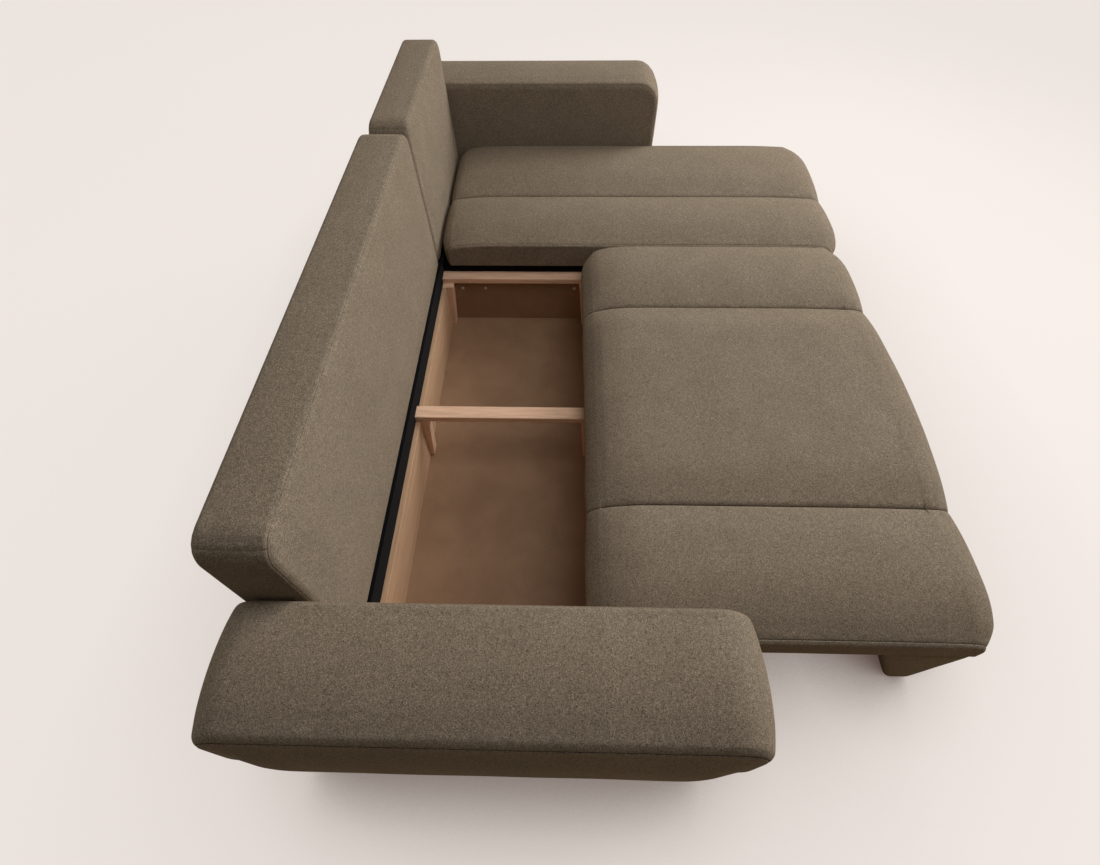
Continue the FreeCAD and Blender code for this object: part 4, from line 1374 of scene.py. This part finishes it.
@dataclass
class DustCloth:
    """The black cloth stapled under the pull-out seat, sagging a little between its edges."""

    sag: float = 0.003
    sag_length: float = 0.2
    hem: float = 0.02
    spacing: float = 0.06

    def build(self) -> None:
        """Makes the cloth."""
        low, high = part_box("seat_dust_cloth")
        bm = bmesh.new()
        solid_block(bm, low, high)
        for axis in (Axis.X, Axis.Y):
            slice_at(bm, axis, stations(low[axis.value], high[axis.value], self.spacing))
        for vert in bm.verts:
            at = vert.co
            edge = min(at.x - low[0], high[0] - at.x, at.y - low[1], high[1] - at.y)
            loose = eased(edge / self.sag_length) * min(1.0, edge / self.hem)
            at.z -= self.sag * loose * (0.6 + 0.4 * wavy(at, self.sag_length, 2.0))
        made = piece("seat_dust_cloth_sheet", bm, BLACK_CLOTH_AND_PAINTED_SHADE, Body.SEAT,
                     "seat_dust_cloth")


@dataclass
class CarriedOver:
    """CAD nodes whose shape is right and that only get a finish."""

    finishes: tuple[tuple[Material, tuple[str, ...]], ...] = (
        (FRAME_WOOD[Axis.X], ("seat_frame", "arm_spacers")),
        (FRAME_WOOD[Axis.Y], ("left_arm_frame", "right_arm_frame", "chaise_frame")),
        (FRAME_WOOD[Axis.Z], ("back_frame_long", "back_frame_short")),
        (BROWN_BOARD, ("chaise_floor",)),
        (BLACK_CLOTH_AND_PAINTED_SHADE, ("back_rail_long", "back_rail_short")),
        (STRAP, ("seat_webbing", "chaise_webbing")),
        (BLACK_PLASTIC, ("arm_glides", "box_feet", "chaise_feet", "castor_hub_near",
                         "castor_hub_far")),
        (RUBBER, ("castor_tyre_near", "castor_tyre_far")))

    def dress(self) -> None:
        """Gives each shown node its finish; what isn't listed is plated steel."""
        finishes = {name: finish for finish, names in self.finishes for name in names}
        for name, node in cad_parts.items():
            if not node.hide_render:
                node.data.materials.clear()
                node.data.materials.append(finishes.get(name, STEEL))


@dataclass(frozen=True)
class Lamp:
    """A wide sun or a round softbox; a sun's place is only the direction that it shines from."""

    name: str
    strength: float
    place: Point
    size: float
    sun: bool = False
    aim: Point = (0.1, 0.0, 0.3)

    def build(self) -> None:
        """Makes the lamp."""
        lamp = bpy.data.lights.new(self.name, "SUN" if self.sun else "AREA")
        lamp.energy = self.strength
        if self.sun:
            lamp.angle = math.radians(self.size)
        else:
            lamp.shape = "DISK"
            lamp.size = self.size
        place = Vector(self.place)
        from_where = place if self.sun else place - Vector(self.aim)
        turn = from_where.to_track_quat("Z", "Y").to_matrix().to_4x4()
        placed(self.name, lamp).matrix_world = Matrix.Translation(place) @ turn


@dataclass
class Studio:
    """The pale floor, the soft light and the camera."""

    floor_colour: Colour = (0.871, 0.807, 0.761)
    bounce_colour: Colour = (0.55, 0.42, 0.28)
    sky_colour: Colour = (1.0, 0.87, 0.70)
    sky: float = 0.07
    floor_size: float = 40.0
    floor_glow: float = 0.92
    floor_share: float = 0.14
    # Painted shadow: how far the floor's two ambient occlusions reach, and the glow colours over
    # them, from darkest to unshadowed.
    shadow_reach: float = 0.85
    contact_reach: float = 0.22
    shadow_tones: tuple[Stop, ...] = (
        (0.0, (0.09, 0.05, 0.04)), (0.35, (0.44, 0.41, 0.40)), (0.55, (0.745, 0.725, 0.715)),
        (1.0, (1.0, 1.0, 1.0)))
    position: Point = (-1.521, 0.1875, 1.8213)
    right: Point = (0.02233, -0.99968, -0.01191)
    up: Point = (0.81403, 0.01127, 0.58071)
    ahead: Point = (0.58039, 0.02266, -0.81402)
    sensor: float = 36.0
    focal_pixels: float = 570.577
    image_width: float = 1100.0
    lamps: tuple[Lamp, ...] = (
        Lamp("key_sun", 1.62, (0.536, -0.795, 0.284), 40.0, sun=True),
        Lamp("front_softbox", 28.0, (0.3, -2.8, 2.0), 2.0),
        Lamp("side_softbox", 45.0, (2.2, -1.8, 2.4), 2.0),
        Lamp("top_softbox", 26.0, (-0.4, -0.6, 3.2), 2.0),
        Lamp("rear_sun", 0.70, (0.163, 0.925, 0.342), 60.0, sun=True))

    def floor(self) -> None:
        """A wide plain floor: pale to the eye, with the sofa's soft shadow mostly painted, and a
        mild bounce.
        """
        bm = bmesh.new()
        bmesh.ops.create_grid(bm, x_segments=1, y_segments=1, size=self.floor_size)
        made = placed("studio_floor", bm)
        bm.free()
        sheet = NodeSheet("studio_floor")
        pale = sheet.shades(sheet.noise(sheet.place(), 0.6, 1.0), self.floor_colour,
                            (0.3, 0.995), (0.7, 1.0))
        seen = sheet.node("ShaderNodeBsdfDiffuse",
                          Color=sheet.times(pale, rgba(grey(self.floor_share))))
        # Painted shadow: two ambient occlusions darken the floor's glow near the sofa, where its
        # shadow falls; only the faint diffuse share takes a cast shadow.
        wide, close = (sheet.node("ShaderNodeAmbientOcclusion", samples=8, Distance=reach)
                       for reach in (self.shadow_reach, self.contact_reach))
        shade = sheet.math("MULTIPLY", wide.outputs["AO"], close.outputs["AO"])
        glow = sheet.node("ShaderNodeEmission", Strength=self.floor_glow,
                          Color=sheet.toned(pale, shade, *self.shadow_tones))
        both = sheet.node("ShaderNodeAddShader", seen.outputs["BSDF"], glow.outputs["Emission"])
        made.data.materials.append(sheet.finish(
            Base_Color=rgba(self.bounce_colour), Roughness=0.9, Specular_IOR_Level=0.0))
        sheet.show(both.outputs["Shader"])

    def lights(self) -> None:
        """Softboxes at the front and above, a low wide key, a faint one behind, and an even sky."""
        sheet = NodeSheet("studio", world=True)
        bpy.context.scene.world = sheet.finish(Color=rgba(self.sky_colour), Strength=self.sky)
        backdrop = sheet.node("ShaderNodeBackground", Color=rgba(self.floor_colour))
        sheet.show(backdrop.outputs["Background"])
        for lamp in self.lamps:
            lamp.build()

    def camera(self) -> None:
        """The camera: where it stands, the way it is turned and how wide it sees."""
        lens = bpy.data.cameras.new("camera")
        lens.sensor_width = self.sensor
        lens.sensor_fit = "HORIZONTAL"
        lens.lens = self.sensor * self.focal_pixels / self.image_width
        made = placed("camera", lens)
        axes = Matrix((Vector(self.right), Vector(self.up), -Vector(self.ahead)))
        turn = axes.transposed().to_4x4()
        made.matrix_world = Matrix.Translation(Vector(self.position)) @ turn
        bpy.context.scene.camera = made

    def build(self) -> None:
        """Sets the stage."""
        self.floor()
        self.lights()
        self.camera()
        bpy.context.scene.view_settings.view_transform = "Standard"


def main() -> None:
    """Builds every sub-assembly in order."""
    logging.basicConfig(level=logging.INFO, format="%(name)s: %(message)s")
    Studio().build()
    fill_pads([*Arms().pads(), *Backs().pads(), *Seats().pads()])
    Panels().build()
    StorageBox().build()
    Screws().build()
    DustCloth().build()
    CarriedOver().dress()
    bpy.context.view_layer.update()


if __name__ == "__main__":
    main()
